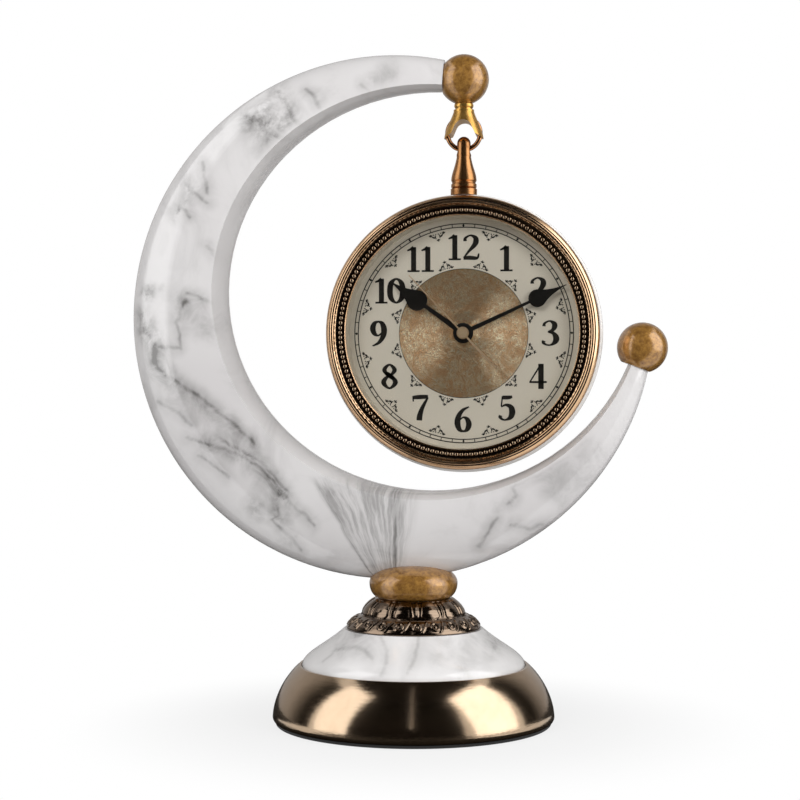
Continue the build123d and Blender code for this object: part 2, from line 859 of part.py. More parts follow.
with BuildPart() as inner_ring:
    with BuildSketch(clock_section):
        with BuildLine():
            Polyline(
                (glass_radius, dial_front),
                (glass_radius, gasket_rear),
                (sight_radius + 0.8, gasket_rear),
                (sight_radius - 0.3, dial_front),
                close=True,
            )
        make_face()
    revolve(axis=clock_axis)
keep(inner_ring, "inner_ring")

# dial with its nut and the rubber washer behind it
with BuildPart() as dial:
    with BuildSketch(face_at(dial_rear)):
        Circle(glass_radius)
        Circle(post_radius + fit_gap, mode=Mode.SUBTRACT)
    extrude(amount=dial_thickness)
keep(dial, "dial")

with BuildPart() as dial_nut:
    with BuildSketch(face_at(dial_front)):
        Circle(dial_nut_radius)
        Circle(post_radius + thread_gap, mode=Mode.SUBTRACT)
        with PolarLocations(dial_nut_radius, 4):
            Rectangle(1.0, 1.0, mode=Mode.SUBTRACT)
    extrude(amount=dial_nut_height)
keep(dial_nut, "dial_nut")

movement_front = dial_rear - washer_rubber
with BuildPart() as rubber_washer:
    with BuildSketch(face_at(movement_front)):
        Circle(washer_rubber_radius)
        Circle(post_radius + fit_gap, mode=Mode.SUBTRACT)
    extrude(amount=washer_rubber)
keep(rubber_washer, "rubber_washer")

# where each wheel's arbor stands, right and up from the hand arbor
motion_distance = motion_module * (cannon_teeth + minute_wheel_teeth) / 2
third_distance = third_module * (second_pinion_teeth + third_wheel_teeth) / 2
centre_module = 2 * third_distance / (third_pinion_teeth + centre_wheel_teeth)
middle_distance = second_module * (second_wheel_teeth + middle_pinion_teeth) / 2
rotor_distance = middle_module * (middle_wheel_teeth + rotor_pinion_teeth) / 2
knob_x = motion_distance * cos(radians(minute_wheel_bearing))
knob_up = motion_distance * sin(radians(minute_wheel_bearing))
third_x = third_distance * cos(radians(third_bearing))
third_up = third_distance * sin(radians(third_bearing))
middle_x = middle_distance * cos(radians(middle_bearing))
middle_up = middle_distance * sin(radians(middle_bearing))
rotor_x = middle_x + rotor_distance * cos(radians(rotor_bearing))
rotor_up = middle_up + rotor_distance * sin(radians(rotor_bearing))

front_wall = movement_front - movement_wall
lid_front = movement_front - movement_depth
lid_rear = lid_front - lid_thickness
plate_front = front_wall - plate_sink
plate_rear = plate_front - plate_thickness


def gear_points(teeth, module, tooth_at):
    root = module * (teeth / 2 - 1.05)
    tip = module * (teeth / 2 + 0.75)
    wide = 0.23 * pi * module / root
    slim = 0.08 * pi * module / tip
    points = []
    for tooth in range(teeth):
        middle = radians(tooth_at) + 2 * pi * tooth / teeth
        for radius, lean in ((root, -wide), (tip, -slim), (tip, slim), (root, wide)):
            points.append((radius * cos(middle + lean), radius * sin(middle + lean)))
    return points


def spade_flank(bulb, bulb_radius, length):
    shoulder = bulb + 0.38 * bulb_radius
    return (
        (0.92 * bulb_radius, shoulder),
        (0.46 * bulb_radius, shoulder + 0.85 * bulb_radius),
        (0.2 * bulb_radius, shoulder + 0.45 * (length - shoulder)),
        (hand_tip, length),
    )


# movement box: gear room above, cell bay below, threaded post in front
with BuildPart() as movement_box:
    inner_half = movement_half - movement_wall
    with BuildSketch(face_at(lid_front)):
        RectangleRounded(movement_size, movement_size, 3.0)
    extrude(amount=movement_depth)
    with BuildSketch(face_at(lid_front, up=0.5 * (inner_half - movement_floor))):
        Rectangle(2 * inner_half, inner_half + movement_floor)
    extrude(amount=movement_depth - movement_wall, mode=Mode.SUBTRACT)
    bay_top = -movement_floor - movement_wall
    with BuildSketch(face_at(lid_front, up=0.5 * (bay_top - inner_half))):
        RectangleRounded(2 * inner_half, inner_half + bay_top, 1.0)
    extrude(amount=movement_depth - movement_wall, mode=Mode.SUBTRACT)
    with BuildSketch(face_at(movement_front)):
        Circle(post_radius)
    extrude(amount=post_length)
    with BuildSketch(face_at(front_wall)):
        Circle(hour_pipe_radius + run_gap)
    extrude(amount=movement_wall + post_length, mode=Mode.SUBTRACT)
    with BuildSketch(face_at(front_wall)):
        with Locations((knob_x, knob_up), (third_x, third_up)):
            Circle(second_arbor_radius + run_gap)
    extrude(amount=0.6, mode=Mode.SUBTRACT)
keep(movement_box, "movement_box")

with BuildPart() as movement_lid:
    with BuildSketch(face_at(lid_rear, up=0.5 * (movement_half - movement_floor - movement_wall))):
        RectangleRounded(movement_size, movement_half + movement_floor + movement_wall, 2.0)
    extrude(amount=lid_thickness)
    with BuildSketch(face_at(lid_front)):
        with Locations((0, 0), (third_x, third_up)):
            Circle(second_arbor_radius + run_gap)
        with Locations((middle_x, middle_up), (rotor_x, rotor_up)):
            Circle(small_arbor_radius + run_gap)
    extrude(amount=-0.8, mode=Mode.SUBTRACT)
    with BuildSketch(face_at(lid_rear)):
        with Locations((knob_x, knob_up)):
            Circle(knob_shaft_radius + run_gap)
    extrude(amount=lid_thickness, mode=Mode.SUBTRACT)
keep(movement_lid, "movement_lid")

with BuildPart() as middle_plate:
    with BuildSketch(face_at(plate_rear, x=0.5 * (inner_half - 3.0), up=2.0)):
        Rectangle(inner_half + 3.0, 2 * (movement_floor + 2.0))
    extrude(amount=plate_thickness)
    with BuildSketch(face_at(plate_rear)):
        Circle(second_arbor_radius + run_gap)
        with Locations((knob_x, knob_up)):
            Circle(knob_shaft_radius + run_gap)
        with Locations((middle_x, middle_up), (rotor_x, rotor_up)):
            Circle(small_arbor_radius + run_gap)
    extrude(amount=plate_thickness, mode=Mode.SUBTRACT)
keep(middle_plate, "middle_plate")

# hour hand, hour wheel and pipe
hour_level = front_wall - hour_wheel_sink
with BuildPart() as hour_wheel:
    with BuildSketch(face_at(hour_level)):
        with BuildLine():
            Polyline(
                *gear_points(hour_wheel_teeth, motion_module, minute_wheel_bearing + 180 / hour_wheel_teeth),
                close=True,
            )
        make_face()
    extrude(amount=motion_wheel_thickness)
    with BuildSketch(face_at(hour_level)):
        Circle(hour_pipe_radius)
    extrude(amount=movement_front + post_length + 1.6 - hour_level)
    with BuildSketch(face_at(hour_level)):
        Circle(minute_arbor_radius + run_gap)
    extrude(amount=20.0, mode=Mode.SUBTRACT)
keep(hour_wheel, "hour_wheel")

hour_plane = movement_front + post_length + 0.5
with BuildPart() as hour_hand:
    with BuildSketch(face_at(hour_plane, turn=-hour_angle)):
        bulb = 0.63 * hour_length
        bulb_radius = 0.115 * hour_length
        with BuildLine():
            Polyline((-1.5, 3), (-0.9, bulb - 4), (0.9, bulb - 4), (1.5, 3), close=True)
        make_face()
        with Locations((0, bulb)):
            Circle(bulb_radius)
        with BuildLine():
            flank = spade_flank(bulb, bulb_radius, hour_length)
            Bezier(*flank)
            Line(flank[-1], (-hand_tip, hour_length))
            Bezier(*[(-x, y) for x, y in reversed(flank)])
            Line((-flank[0][0], flank[0][1]), flank[0])
        make_face()
        Circle(hour_hub)
        Circle(hour_pipe_radius + thread_gap, mode=Mode.SUBTRACT)
    extrude(amount=hand_thickness)
keep(hour_hand, "hour_hand")

# minute hand on the cannon arbor
cannon_rear = front_wall - cannon_sink
minute_plane = hour_plane + hand_step
arbor_rear = front_wall - arbor_sink
with BuildPart() as minute_arbor:
    with BuildSketch(face_at(arbor_rear)):
        Circle(minute_arbor_radius)
    extrude(amount=minute_plane + hand_thickness + 0.4 - arbor_rear)
    with BuildSketch(face_at(cannon_rear)):
        with BuildLine():
            Polyline(*gear_points(cannon_teeth, motion_module, minute_wheel_bearing), close=True)
        make_face()
    extrude(amount=motion_wheel_thickness)
    with BuildSketch(face_at(arbor_rear)):
        Circle(second_arbor_radius + run_gap)
    extrude(amount=24.0, mode=Mode.SUBTRACT)
keep(minute_arbor, "minute_arbor")

with BuildPart() as minute_hand:
    with BuildSketch(face_at(minute_plane, turn=-minute_angle)):
        bulb = 0.72 * minute_length
        bulb_radius = 0.078 * minute_length
        with BuildLine():
            Polyline((-1.2, 3), (-0.7, bulb - 4), (0.7, bulb - 4), (1.2, 3), close=True)
        make_face()
        with Locations((0, bulb)):
            Circle(bulb_radius)
        with BuildLine():
            flank = spade_flank(bulb, bulb_radius, minute_length)
            Bezier(*flank)
            Line(flank[-1], (-hand_tip, minute_length))
            Bezier(*[(-x, y) for x, y in reversed(flank)])
            Line((-flank[0][0], flank[0][1]), flank[0])
        make_face()
        Circle(minute_hub)
        Circle(minute_arbor_radius + thread_gap, mode=Mode.SUBTRACT)
    extrude(amount=hand_thickness)
keep(minute_hand, "minute_hand")

# minute wheel with its pinion, and the knob that sets the hands
knob_front = lid_rear - 0.5
with BuildPart() as minute_wheel:
    with BuildSketch(face_at(cannon_rear, knob_x, knob_up)):
        with BuildLine():
            Polyline(
                *gear_points(
                    minute_wheel_teeth,
                    motion_module,
                    minute_wheel_bearing + 180 + 180 / minute_wheel_teeth,
                ),
                close=True,
            )
        make_face()
    extrude(amount=motion_wheel_thickness)
    with BuildSketch(face_at(cannon_rear + 1.0, knob_x, knob_up)):
        with BuildLine():
            Polyline(
                *gear_points(minute_pinion_teeth, motion_module, minute_wheel_bearing + 180), close=True
            )
        make_face()
    extrude(amount=1.4)
    with BuildSketch(face_at(cannon_rear, knob_x, knob_up)):
        Circle(second_arbor_radius)
    extrude(amount=front_wall + 0.5 - cannon_rear)
    with BuildSketch(face_at(cannon_rear, knob_x, knob_up)):
        Circle(knob_shaft_radius)
    extrude(amount=knob_front - knob_height + 1.0 - cannon_rear)
keep(minute_wheel, "minute_wheel")

with BuildPart() as setting_knob:
    with BuildSketch(face_at(knob_front - knob_height, knob_x, knob_up)):
        Circle(knob_radius)
        with PolarLocations(knob_radius + 0.35, 18):
            Circle(0.8, mode=Mode.SUBTRACT)
    extrude(amount=knob_height)
    with BuildSketch(face_at(knob_front - knob_height + 1.0, knob_x, knob_up)):
        Circle(knob_shaft_radius + thread_gap)
    extrude(amount=knob_height, mode=Mode.SUBTRACT)
keep(setting_knob, "setting_knob")

# seconds train
second_plane = minute_plane + 1.6
third_level = front_wall - third_wheel_sink
with BuildPart() as second_arbor:
    with BuildSketch(face_at(lid_front - pivot_depth)):
        Circle(second_arbor_radius)
    extrude(amount=second_plane + hand_thickness - lid_front + pivot_depth)
    with BuildSketch(face_at(third_level)):
        with BuildLine():
            Polyline(*gear_points(second_pinion_teeth, third_module, third_bearing), close=True)
        make_face()
    extrude(amount=wheel_thickness)
    with BuildSketch(face_at(front_wall - second_wheel_sink)):
        with BuildLine():
            Polyline(
                *gear_points(second_wheel_teeth, second_module, middle_bearing + 180 / second_wheel_teeth),
                close=True,
            )
        make_face()
    extrude(amount=wheel_thickness)
keep(second_arbor, "second_arbor")

with BuildPart() as second_hand:
    with BuildSketch(face_at(second_plane, turn=-second_angle)):
        with BuildLine():
            Polyline(
                (-0.7, -second_tail), (-0.4, 0), (-0.25, second_length), (0.25, second_length), (0.4, 0),
                (0.7, -second_tail), close=True,
            )
        make_face()
        Circle(2.4)
    extrude(amount=0.3)
    with BuildSketch(face_at(second_plane)):
        Circle(second_cap)
    extrude(amount=1.2, taper=25)
    with BuildSketch(face_at(second_plane)):
        Circle(second_arbor_radius + thread_gap)
    extrude(amount=hand_thickness, mode=Mode.SUBTRACT)
keep(second_hand, "second_hand")

with BuildPart() as third_wheel:
    with BuildSketch(face_at(lid_front - pivot_depth, third_x, third_up)):
        Circle(second_arbor_radius)
    extrude(amount=front_wall + 0.4 - lid_front + pivot_depth)
    with BuildSketch(face_at(third_level, third_x, third_up)):
        with BuildLine():
            Polyline(
                *gear_points(third_wheel_teeth, third_module, third_bearing + 180 + 180 / third_wheel_teeth),
                close=True,
            )
        make_face()
    extrude(amount=wheel_thickness)
    with BuildSketch(face_at(front_wall - centre_wheel_sink - 0.1, third_x, third_up)):
        with BuildLine():
            Polyline(*gear_points(third_pinion_teeth, centre_module, third_bearing + 180), close=True)
        make_face()
    extrude(amount=pinion_length)
keep(third_wheel, "third_wheel")

with BuildPart() as centre_wheel:
    with BuildSketch(face_at(front_wall - centre_wheel_sink)):
        with BuildLine():
            Polyline(
                *gear_points(centre_wheel_teeth, centre_module, third_bearing + 180 / centre_wheel_teeth),
                close=True,
            )
        make_face()
        Circle(minute_arbor_radius + run_gap, mode=Mode.SUBTRACT)
    extrude(amount=wheel_thickness)
keep(centre_wheel, "centre_wheel")

middle_level = front_wall - middle_wheel_sink
with BuildPart() as middle_wheel:
    with BuildSketch(face_at(lid_front - pivot_depth, middle_x, middle_up)):
        Circle(small_arbor_radius)
    extrude(amount=plate_front - lid_front + 0.5)
    with BuildSketch(face_at(front_wall - second_wheel_sink - 0.1, middle_x, middle_up)):
        with BuildLine():
            Polyline(*gear_points(middle_pinion_teeth, second_module, middle_bearing + 180), close=True)
        make_face()
    extrude(amount=pinion_length)
    with BuildSketch(face_at(middle_level, middle_x, middle_up)):
        with BuildLine():
            Polyline(
                *gear_points(middle_wheel_teeth, middle_module, rotor_bearing + 180 / middle_wheel_teeth),
                close=True,
            )
        make_face()
    extrude(amount=wheel_thickness)
keep(middle_wheel, "middle_wheel")

magnet_rear = front_wall - magnet_sink
with BuildPart() as rotor:
    with BuildSketch(face_at(lid_front - pivot_depth, rotor_x, rotor_up)):
        Circle(small_arbor_radius)
    extrude(amount=plate_front - lid_front + 0.5)
    with BuildSketch(face_at(middle_level - 0.2, rotor_x, rotor_up)):
        with BuildLine():
            Polyline(*gear_points(rotor_pinion_teeth, middle_module, rotor_bearing + 180), close=True)
        make_face()
    extrude(amount=1.2)
    with BuildSketch(face_at(magnet_rear, rotor_x, rotor_up)):
        Circle(rotor_radius)
    extrude(amount=magnet_thickness)
keep(rotor, "rotor")

# stator with the coil on its core
stator_front = front_wall - stator_sink
core_x = inner_half - 7.0
with BuildPart() as stator:
    with BuildSketch(face_at(stator_front - 1.0)):
        with Locations((0.5 * (rotor_x - 4.2 + inner_half), rotor_up)):
            Rectangle(inner_half - rotor_x + 4.2, 10.0)
        with Locations((rotor_x, rotor_up)):
            Circle(rotor_radius + stator_gap, mode=Mode.SUBTRACT)
    extrude(amount=1.0)
    with BuildSketch(face_at(stator_front)):
        with Locations((core_x, 0.5 * (inner_half - 3.0))):
            Rectangle(core_width, inner_half + 3.0)
    extrude(amount=core_thickness)
keep(stator, "stator")

with BuildPart() as coil:
    coil_plane = Plane(
        origin=(hang_x + core_x, -stator_front - 0.6, clock_z + 6.5), x_dir=(1, 0, 0), z_dir=(0, 0, 1)
    )
    with BuildSketch(coil_plane):
        Circle(coil_radius)
        Rectangle(core_width + fit_gap, core_thickness + fit_gap, mode=Mode.SUBTRACT)
    extrude(amount=coil_length)
    with BuildSketch(coil_plane, coil_plane.offset(coil_length - coil_flange)):
        Circle(coil_radius + 0.3)
        Rectangle(core_width + fit_gap, core_thickness + fit_gap, mode=Mode.SUBTRACT)
    extrude(amount=coil_flange)
keep(coil, "coil")

with BuildPart() as circuit_board:
    board_rear = front_wall - board_sink
    board_x = -0.5 * (inner_half + board_side)
    board_up = 0.5 * (inner_half + board_foot)
    with BuildSketch(face_at(board_rear, board_x, board_up)):
        Rectangle(inner_half - board_side, inner_half - board_foot)
    extrude(amount=board_thickness)
    with BuildSketch(face_at(board_rear + board_thickness, board_x, board_up)):
        with Locations((-2.0, 3.0)):
            Rectangle(crystal_length, crystal_width)
        with Locations((2.0, -4.0)):
            Circle(chip_radius)
    extrude(amount=chip_height)
keep(circuit_board, "circuit_board")

# AA cell lying across the bay, between its two contacts
cell_centre = front_wall - fit_gap - cell_radius
with BuildPart() as cell:
    cell_plane = Plane(
        origin=(hang_x - cell_length / 2, -cell_centre, clock_z - cell_drop), x_dir=(0, 1, 0), z_dir=(1, 0, 0)
    )
    with BuildSketch(cell_plane):
        Circle(cell_radius)
    extrude(amount=cell_length - cell_nub)
    chamfer(cell.edges().filter_by(GeomType.CIRCLE), length=0.5)
    with BuildSketch(cell_plane.offset(cell_length - cell_nub)):
        Circle(cell_nub_radius)
    extrude(amount=cell_nub)
keep(cell, "cell")

end_room = inner_half - cell_length / 2
with BuildPart() as contact_negative:
    with BuildSketch(Plane(cell_plane.from_local_coords((0, 0, -end_room)), x_dir=(0, 1, 0), z_dir=(1, 0, 0))):
        Rectangle(contact_depth, contact_height)
    extrude(amount=0.4)
    with BuildSketch(Plane(cell_plane.from_local_coords((0, 0, -0.1)), x_dir=(0, 1, 0), z_dir=(1, 0, 0))):
        Circle(2.0)
    extrude(amount=0.2 - end_room, taper=-30)
keep(contact_negative, "contact_negative")

with BuildPart() as contact_positive:
    with BuildSketch(
        Plane(cell_plane.from_local_coords((0, 0, cell_length + end_room)), x_dir=(0, 1, 0), z_dir=(1, 0, 0))
    ):
        Rectangle(contact_depth, contact_height)
    extrude(amount=-0.4)
    with BuildSketch(
        Plane(cell_plane.from_local_coords((0, 0, cell_length + 0.1)), x_dir=(0, 1, 0), z_dir=(1, 0, 0))
    ):
        Circle(1.6)
    extrude(amount=end_room - 0.2, taper=-30)
keep(contact_positive, "contact_positive")
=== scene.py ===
import json
import math
import bmesh
import bpy
from mathutils import Matrix, Vector


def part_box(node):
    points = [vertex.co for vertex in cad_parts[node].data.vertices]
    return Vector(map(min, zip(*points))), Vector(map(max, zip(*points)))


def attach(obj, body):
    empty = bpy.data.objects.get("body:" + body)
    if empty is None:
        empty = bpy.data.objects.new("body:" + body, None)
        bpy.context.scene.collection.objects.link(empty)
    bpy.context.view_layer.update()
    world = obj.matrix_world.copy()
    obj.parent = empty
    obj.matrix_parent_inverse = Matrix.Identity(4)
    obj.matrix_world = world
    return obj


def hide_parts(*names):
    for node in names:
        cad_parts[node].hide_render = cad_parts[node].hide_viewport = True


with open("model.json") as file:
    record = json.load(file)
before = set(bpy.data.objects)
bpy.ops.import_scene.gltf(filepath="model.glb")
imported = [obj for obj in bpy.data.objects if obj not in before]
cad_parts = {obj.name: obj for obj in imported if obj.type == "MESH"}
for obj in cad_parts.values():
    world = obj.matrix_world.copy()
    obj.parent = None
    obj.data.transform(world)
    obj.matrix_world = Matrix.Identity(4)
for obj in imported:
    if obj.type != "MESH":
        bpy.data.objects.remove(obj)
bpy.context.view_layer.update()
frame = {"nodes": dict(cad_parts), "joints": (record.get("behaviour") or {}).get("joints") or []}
nodes = frame["nodes"]
scene = bpy.context.scene
joints = {j["name"]: j for j in frame["joints"]}
mm = 0.001
toMm = 1000.0

# places read from the frame, in metres
clockCentre = Vector(joints["minute_turn"]["pos_m"])
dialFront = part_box("dial")[0].y


# shader wiring: a wrapped socket takes part in plain expressions
class Wire:
    def __init__(self, tree, socket):
        self.tree = tree
        self.socket = socket

    def math(self, operation, first, second=0.0):
        made = self.tree.nodes.new("ShaderNodeMath")
        made.operation = operation
        for place, value in zip(made.inputs, (first, second)):
            if isinstance(value, Wire):
                self.tree.links.new(value.socket, place)
            else:
                place.default_value = value
        return Wire(self.tree, made.outputs[0])

    def __add__(self, other):
        return self.math("ADD", self, other)

    def __radd__(self, other):
        return self.math("ADD", other, self)

    def __sub__(self, other):
        return self.math("SUBTRACT", self, other)

    def __rsub__(self, other):
        return self.math("SUBTRACT", other, self)

    def __mul__(self, other):
        return self.math("MULTIPLY", self, other)

    def __rmul__(self, other):
        return self.math("MULTIPLY", other, self)

    def __truediv__(self, other):
        return self.math("DIVIDE", self, other)

    def __rtruediv__(self, other):
        return self.math("DIVIDE", other, self)

    def __abs__(self):
        return self.math("ABSOLUTE", self)

    def low(self, other):
        return self.math("MINIMUM", self, other)

    def high(self, other):
        return self.math("MAXIMUM", self, other)

    def atan2(self, other):
        return self.math("ARCTAN2", self, other)

    def hypot(self, other):
        return self.math("SQRT", self * self + other * other)

    # 0 at start, 1 at end, eased
    def ramp(self, start, end):
        made = self.tree.nodes.new("ShaderNodeMapRange")
        made.interpolation_type = "SMOOTHSTEP"
        self.tree.links.new(self.socket, made.inputs["Value"])
        made.inputs["From Min"].default_value = start
        made.inputs["From Max"].default_value = end
        return Wire(self.tree, made.outputs[0])


# a node tree: any node comes from one method, its settings first and then its sockets
class Net:
    def __init__(self, tree):
        self.tree = tree
        self.tree.nodes.clear()

    def node(self, kind, settings=None, sockets=None, out=0):
        made = self.tree.nodes.new(kind)
        for key, value in (settings or {}).items():
            setattr(made, key, value)
        for key, value in (sockets or {}).items():
            target = made.inputs[key]
            if isinstance(value, Wire):
                self.tree.links.new(value.socket, target)
            elif isinstance(value, tuple) and len(value) == 3 and target.type == "RGBA":
                target.default_value = (*value, 1.0)
            else:
                target.default_value = value
        return Wire(self.tree, made.outputs[out] if made.outputs else None)

    def vector(self, operation, first, second, out="Vector"):
        sockets = {0: first, 1: second}
        return self.node("ShaderNodeVectorMath", {"operation": operation}, sockets, out)

    # 1 for rays from the camera, in mirrors and through glass
    def seen(self):
        kinds = ("Is Camera Ray", "Is Glossy Ray", "Is Transmission Ray")
        eye, mirror, lens = (self.node("ShaderNodeLightPath", out=kind) for kind in kinds)
        return eye.high(mirror).high(lens)


class Finish(Net):
    def __init__(self, name, slot):
        self.material = bpy.data.materials.new(name)
        self.material.use_nodes = True
        self.slot = slot
        super().__init__(self.material.node_tree)
        self.place = self.node("ShaderNodeTexCoord", out="Object")

    # the named ones of x, y and z
    def along(self, *axes):
        return [self.node("ShaderNodeSeparateXYZ", None, {0: self.place}, axis) for axis in axes]

    def stretched(self, scale, turn=(0, 0, 0)):
        sockets = {"Vector": self.place, "Scale": scale, "Rotation": turn}
        return self.node("ShaderNodeMapping", None, sockets)

    def noise(self, scale, detail=3.0, rough=0.5, vector=None, warp=0.0):
        sockets = {
            "Vector": vector or self.place,
            "Scale": scale,
            "Detail": detail,
            "Roughness": rough,
            "Distortion": warp,
        }
        return self.node("ShaderNodeTexNoise", None, sockets)

    def mix(self, amount, first, second):
        sockets = {0: amount, 6: first, 7: second}  # its factor, and its two colours
        return self.node("ShaderNodeMix", {"data_type": "RGBA"}, sockets, 2)

    def bump(self, height, strength, distance):
        sockets = {"Height": height, "Strength": strength, "Distance": distance}
        return self.node("ShaderNodeBump", None, sockets)

    def surface(self, sockets):
        self.shade(self.node("ShaderNodeBsdfPrincipled", None, sockets))

    def shade(self, shader):
        self.node("ShaderNodeOutputMaterial", None, {"Surface": shader})


def dress(finish, *names):
    for name in names:
        slots = nodes[name].data.materials
        slots.clear()
        slots.append(finish.material)


# camera: level, a little to the right of the front
view = {"turn": 6.2, "distance": 0.9048, "aside": 0.00702, "height": 0.1673, "lens": 78.3}
turn = math.radians(view["turn"])
cameraData = bpy.data.cameras.new("camera")
cameraData.lens = view["lens"]
cameraData.sensor_width = 36.0
cameraData.clip_start = 0.05
camera = bpy.data.objects.new("camera", cameraData)
scene.collection.objects.link(camera)
camera.location = (
    view["distance"] * math.sin(turn) - view["aside"] * math.cos(turn),
    -view["distance"] * math.cos(turn) - view["aside"] * math.sin(turn),
    view["height"],
)
camera.rotation_euler = (math.pi / 2, 0.0, turn)
scene.camera = camera
scene.view_settings.view_transform = "Standard"

# light: a tall softbox at each side, and three more that mirrors don't show
lamps = {
    "leftBox": {"bearing": -63, "away": 0.95, "height": 0.5, "size": (0.6, 1.4), "power": 2.8},
    "rightBox": {"bearing": 75, "away": 0.95, "height": 0.5, "size": (0.8, 1.4), "power": 6.5},
    "topBox": {"bearing": 0, "away": 0.15, "height": 1.25, "size": (1.0, 0.8), "power": 0.4},
    "highFill": {"bearing": -22, "away": 1.25, "height": 0.85, "size": (0.8, 0.6), "power": 9.2},
    "rightFill": {"bearing": 40, "away": 1.2, "height": 0.45, "size": (0.6, 0.6), "power": 5.6},
}
lampAim = Vector((0.0, 0.0, 0.2))
mirrored = ("leftBox", "rightBox")
for name, spec in lamps.items():
    lampData = bpy.data.lights.new(name, "AREA")
    lampData.shape = "RECTANGLE"
    lampData.size, lampData.size_y = spec["size"]
    lampData.energy = spec["power"]
    lamp = bpy.data.objects.new(name, lampData)
    scene.collection.objects.link(lamp)
    bearing = math.radians(spec["bearing"])
    lamp.location = (
        spec["away"] * math.sin(bearing),
        -spec["away"] * math.cos(bearing),
        spec["height"],
    )
    lamp.rotation_euler = (lampAim - lamp.location).to_track_quat("-Z", "Y").to_euler()
    lamp.visible_glossy = name in mirrored

# world: white to the eye, and a weak fill on the object
worldLight = {"seen": 1.0, "fill": 0.24}
world = bpy.data.worlds.new("studio")
scene.world = world
world.use_nodes = True
sky = Net(world.node_tree)
white, fill = (
    sky.node("ShaderNodeBackground", None, {"Color": (1.0, 1.0, 1.0), "Strength": worldLight[part]})
    for part in ("seen", "fill")
)
skyLight = sky.node("ShaderNodeMixShader", None, {0: sky.seen(), 1: fill, 2: white})
sky.node("ShaderNodeOutputWorld", None, {"Surface": skyLight})


# objects from meshes: of the stage, and of the clock
def meshOf(name, verts, faces):
    mesh = bpy.data.meshes.new(name)
    mesh.from_pydata(verts, [], faces)
    mesh.update()
    return mesh


def objectOf(name, mesh, finish, smooth=False):
    mesh.materials.append(finish.material)
    mesh.polygons.foreach_set("use_smooth", [smooth] * len(mesh.polygons))
    made = bpy.data.objects.new(name, mesh)
    scene.collection.objects.link(made)
    return made


def stagePiece(name, verts, faces, finish):
    made = objectOf(name, meshOf(name, verts, faces), finish)
    return made


def addPiece(name, verts, faces, finish, body, smooth=False):
    piece = objectOf(name, meshOf(name, verts, faces), finish, smooth)
    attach(piece, body)
    return piece


# floor: white to the eye, with part of the shadow left in it
floorSpec = {
    "half": 6.0,
    "sunk": 0.0002,  # so far below the pad
    "shadow": 0.20,  # the share left close to the foot
    "fade": (0.075, 0.19),  # from the axis, where it starts to fade and where it is gone
    "grey": (0.55, 0.55, 0.55),
}
floorLook = Finish("floorWhite", None)
fx, fy = floorLook.along("X", "Y")
away = fx.hypot(fy).ramp(*floorSpec["fade"])
share = floorLook.seen() * (1.0 - floorSpec["shadow"] + floorSpec["shadow"] * away)
matte = floorLook.node("ShaderNodeBsdfDiffuse", None, {"Color": floorSpec["grey"]})
glow = floorLook.node("ShaderNodeEmission", None, {"Color": (1.0, 1.0, 1.0), "Strength": 1.0})
floorLook.shade(floorLook.node("ShaderNodeMixShader", None, {0: share, 1: matte, 2: glow}))
half, under = floorSpec["half"], -floorSpec["sunk"]
corners = [(x * half, y * half, under) for x, y in ((-1, -1), (1, -1), (1, 1), (-1, 1))]
stagePiece("floor", corners, [(0, 1, 2, 3)], floorLook)

# cloth seen only in reflections: dark in front, paling to grey behind, with a strip overhead
cloth = {
    "bearings": [(-48, 46), (-180, -85), (104, 180)],
    "slit": {"from": 3.2, "to": 4.6, "bottom": 0.4, "end": 0.3},  # left open, up and overhead
    "near": 0.066,
    "foot": 0.09,  # it goes all round as far as this
    "lift": (0.002, 0.0015),  # off the floor, and round the foot
    "away": 1.35,
    "height": 1.6,
    "strip": (0.9, 2.2),  # half its width, and how far back it goes
    "dark": ((0.009, 0.007, 0.005), (0.015, 0.012, 0.009)),
    "grey": (0.75, 0.73, 0.72),
    "pale": (0.35, 1.03),  # how far back it starts to pale, and ends
    "lean": 0.2,  # sooner at the left
    "steps": 24,
}
clothLook = Finish("clothBlack", None)
clothDark = clothLook.mix(clothLook.noise(3.0, 2.0), *cloth["dark"])
clothX, clothY = clothLook.along("X", "Y")
clothBack = (clothY - clothX * cloth["lean"]).ramp(*cloth["pale"])
clothTint = clothLook.mix(clothBack, clothDark, cloth["grey"])
clothLook.surface({"Base Color": clothTint, "Roughness": 0.9})
clothVerts, clothFaces = [], []


# a sheet of cloth between two bearings, along a line of (away, up)
def hangCloth(first, last, line):
    start, count = len(clothVerts), len(line)
    for step in range(cloth["steps"] + 1):
        way = math.radians(first + (last - first) * step / cloth["steps"])
        clothVerts.extend((out * math.sin(way), -out * math.cos(way), up) for out, up in line)
    for step in range(cloth["steps"]):
        for place in range(count - 1):
            a = start + count * step + place
            clothFaces.append((a, a + count, a + count + 1, a + 1))


# a flat sheet overhead
def layCloth(corners):
    start = len(clothVerts)
    clothVerts.extend((x, y, cloth["height"]) for x, y in corners)
    clothFaces.append(tuple(range(start, start + len(corners))))


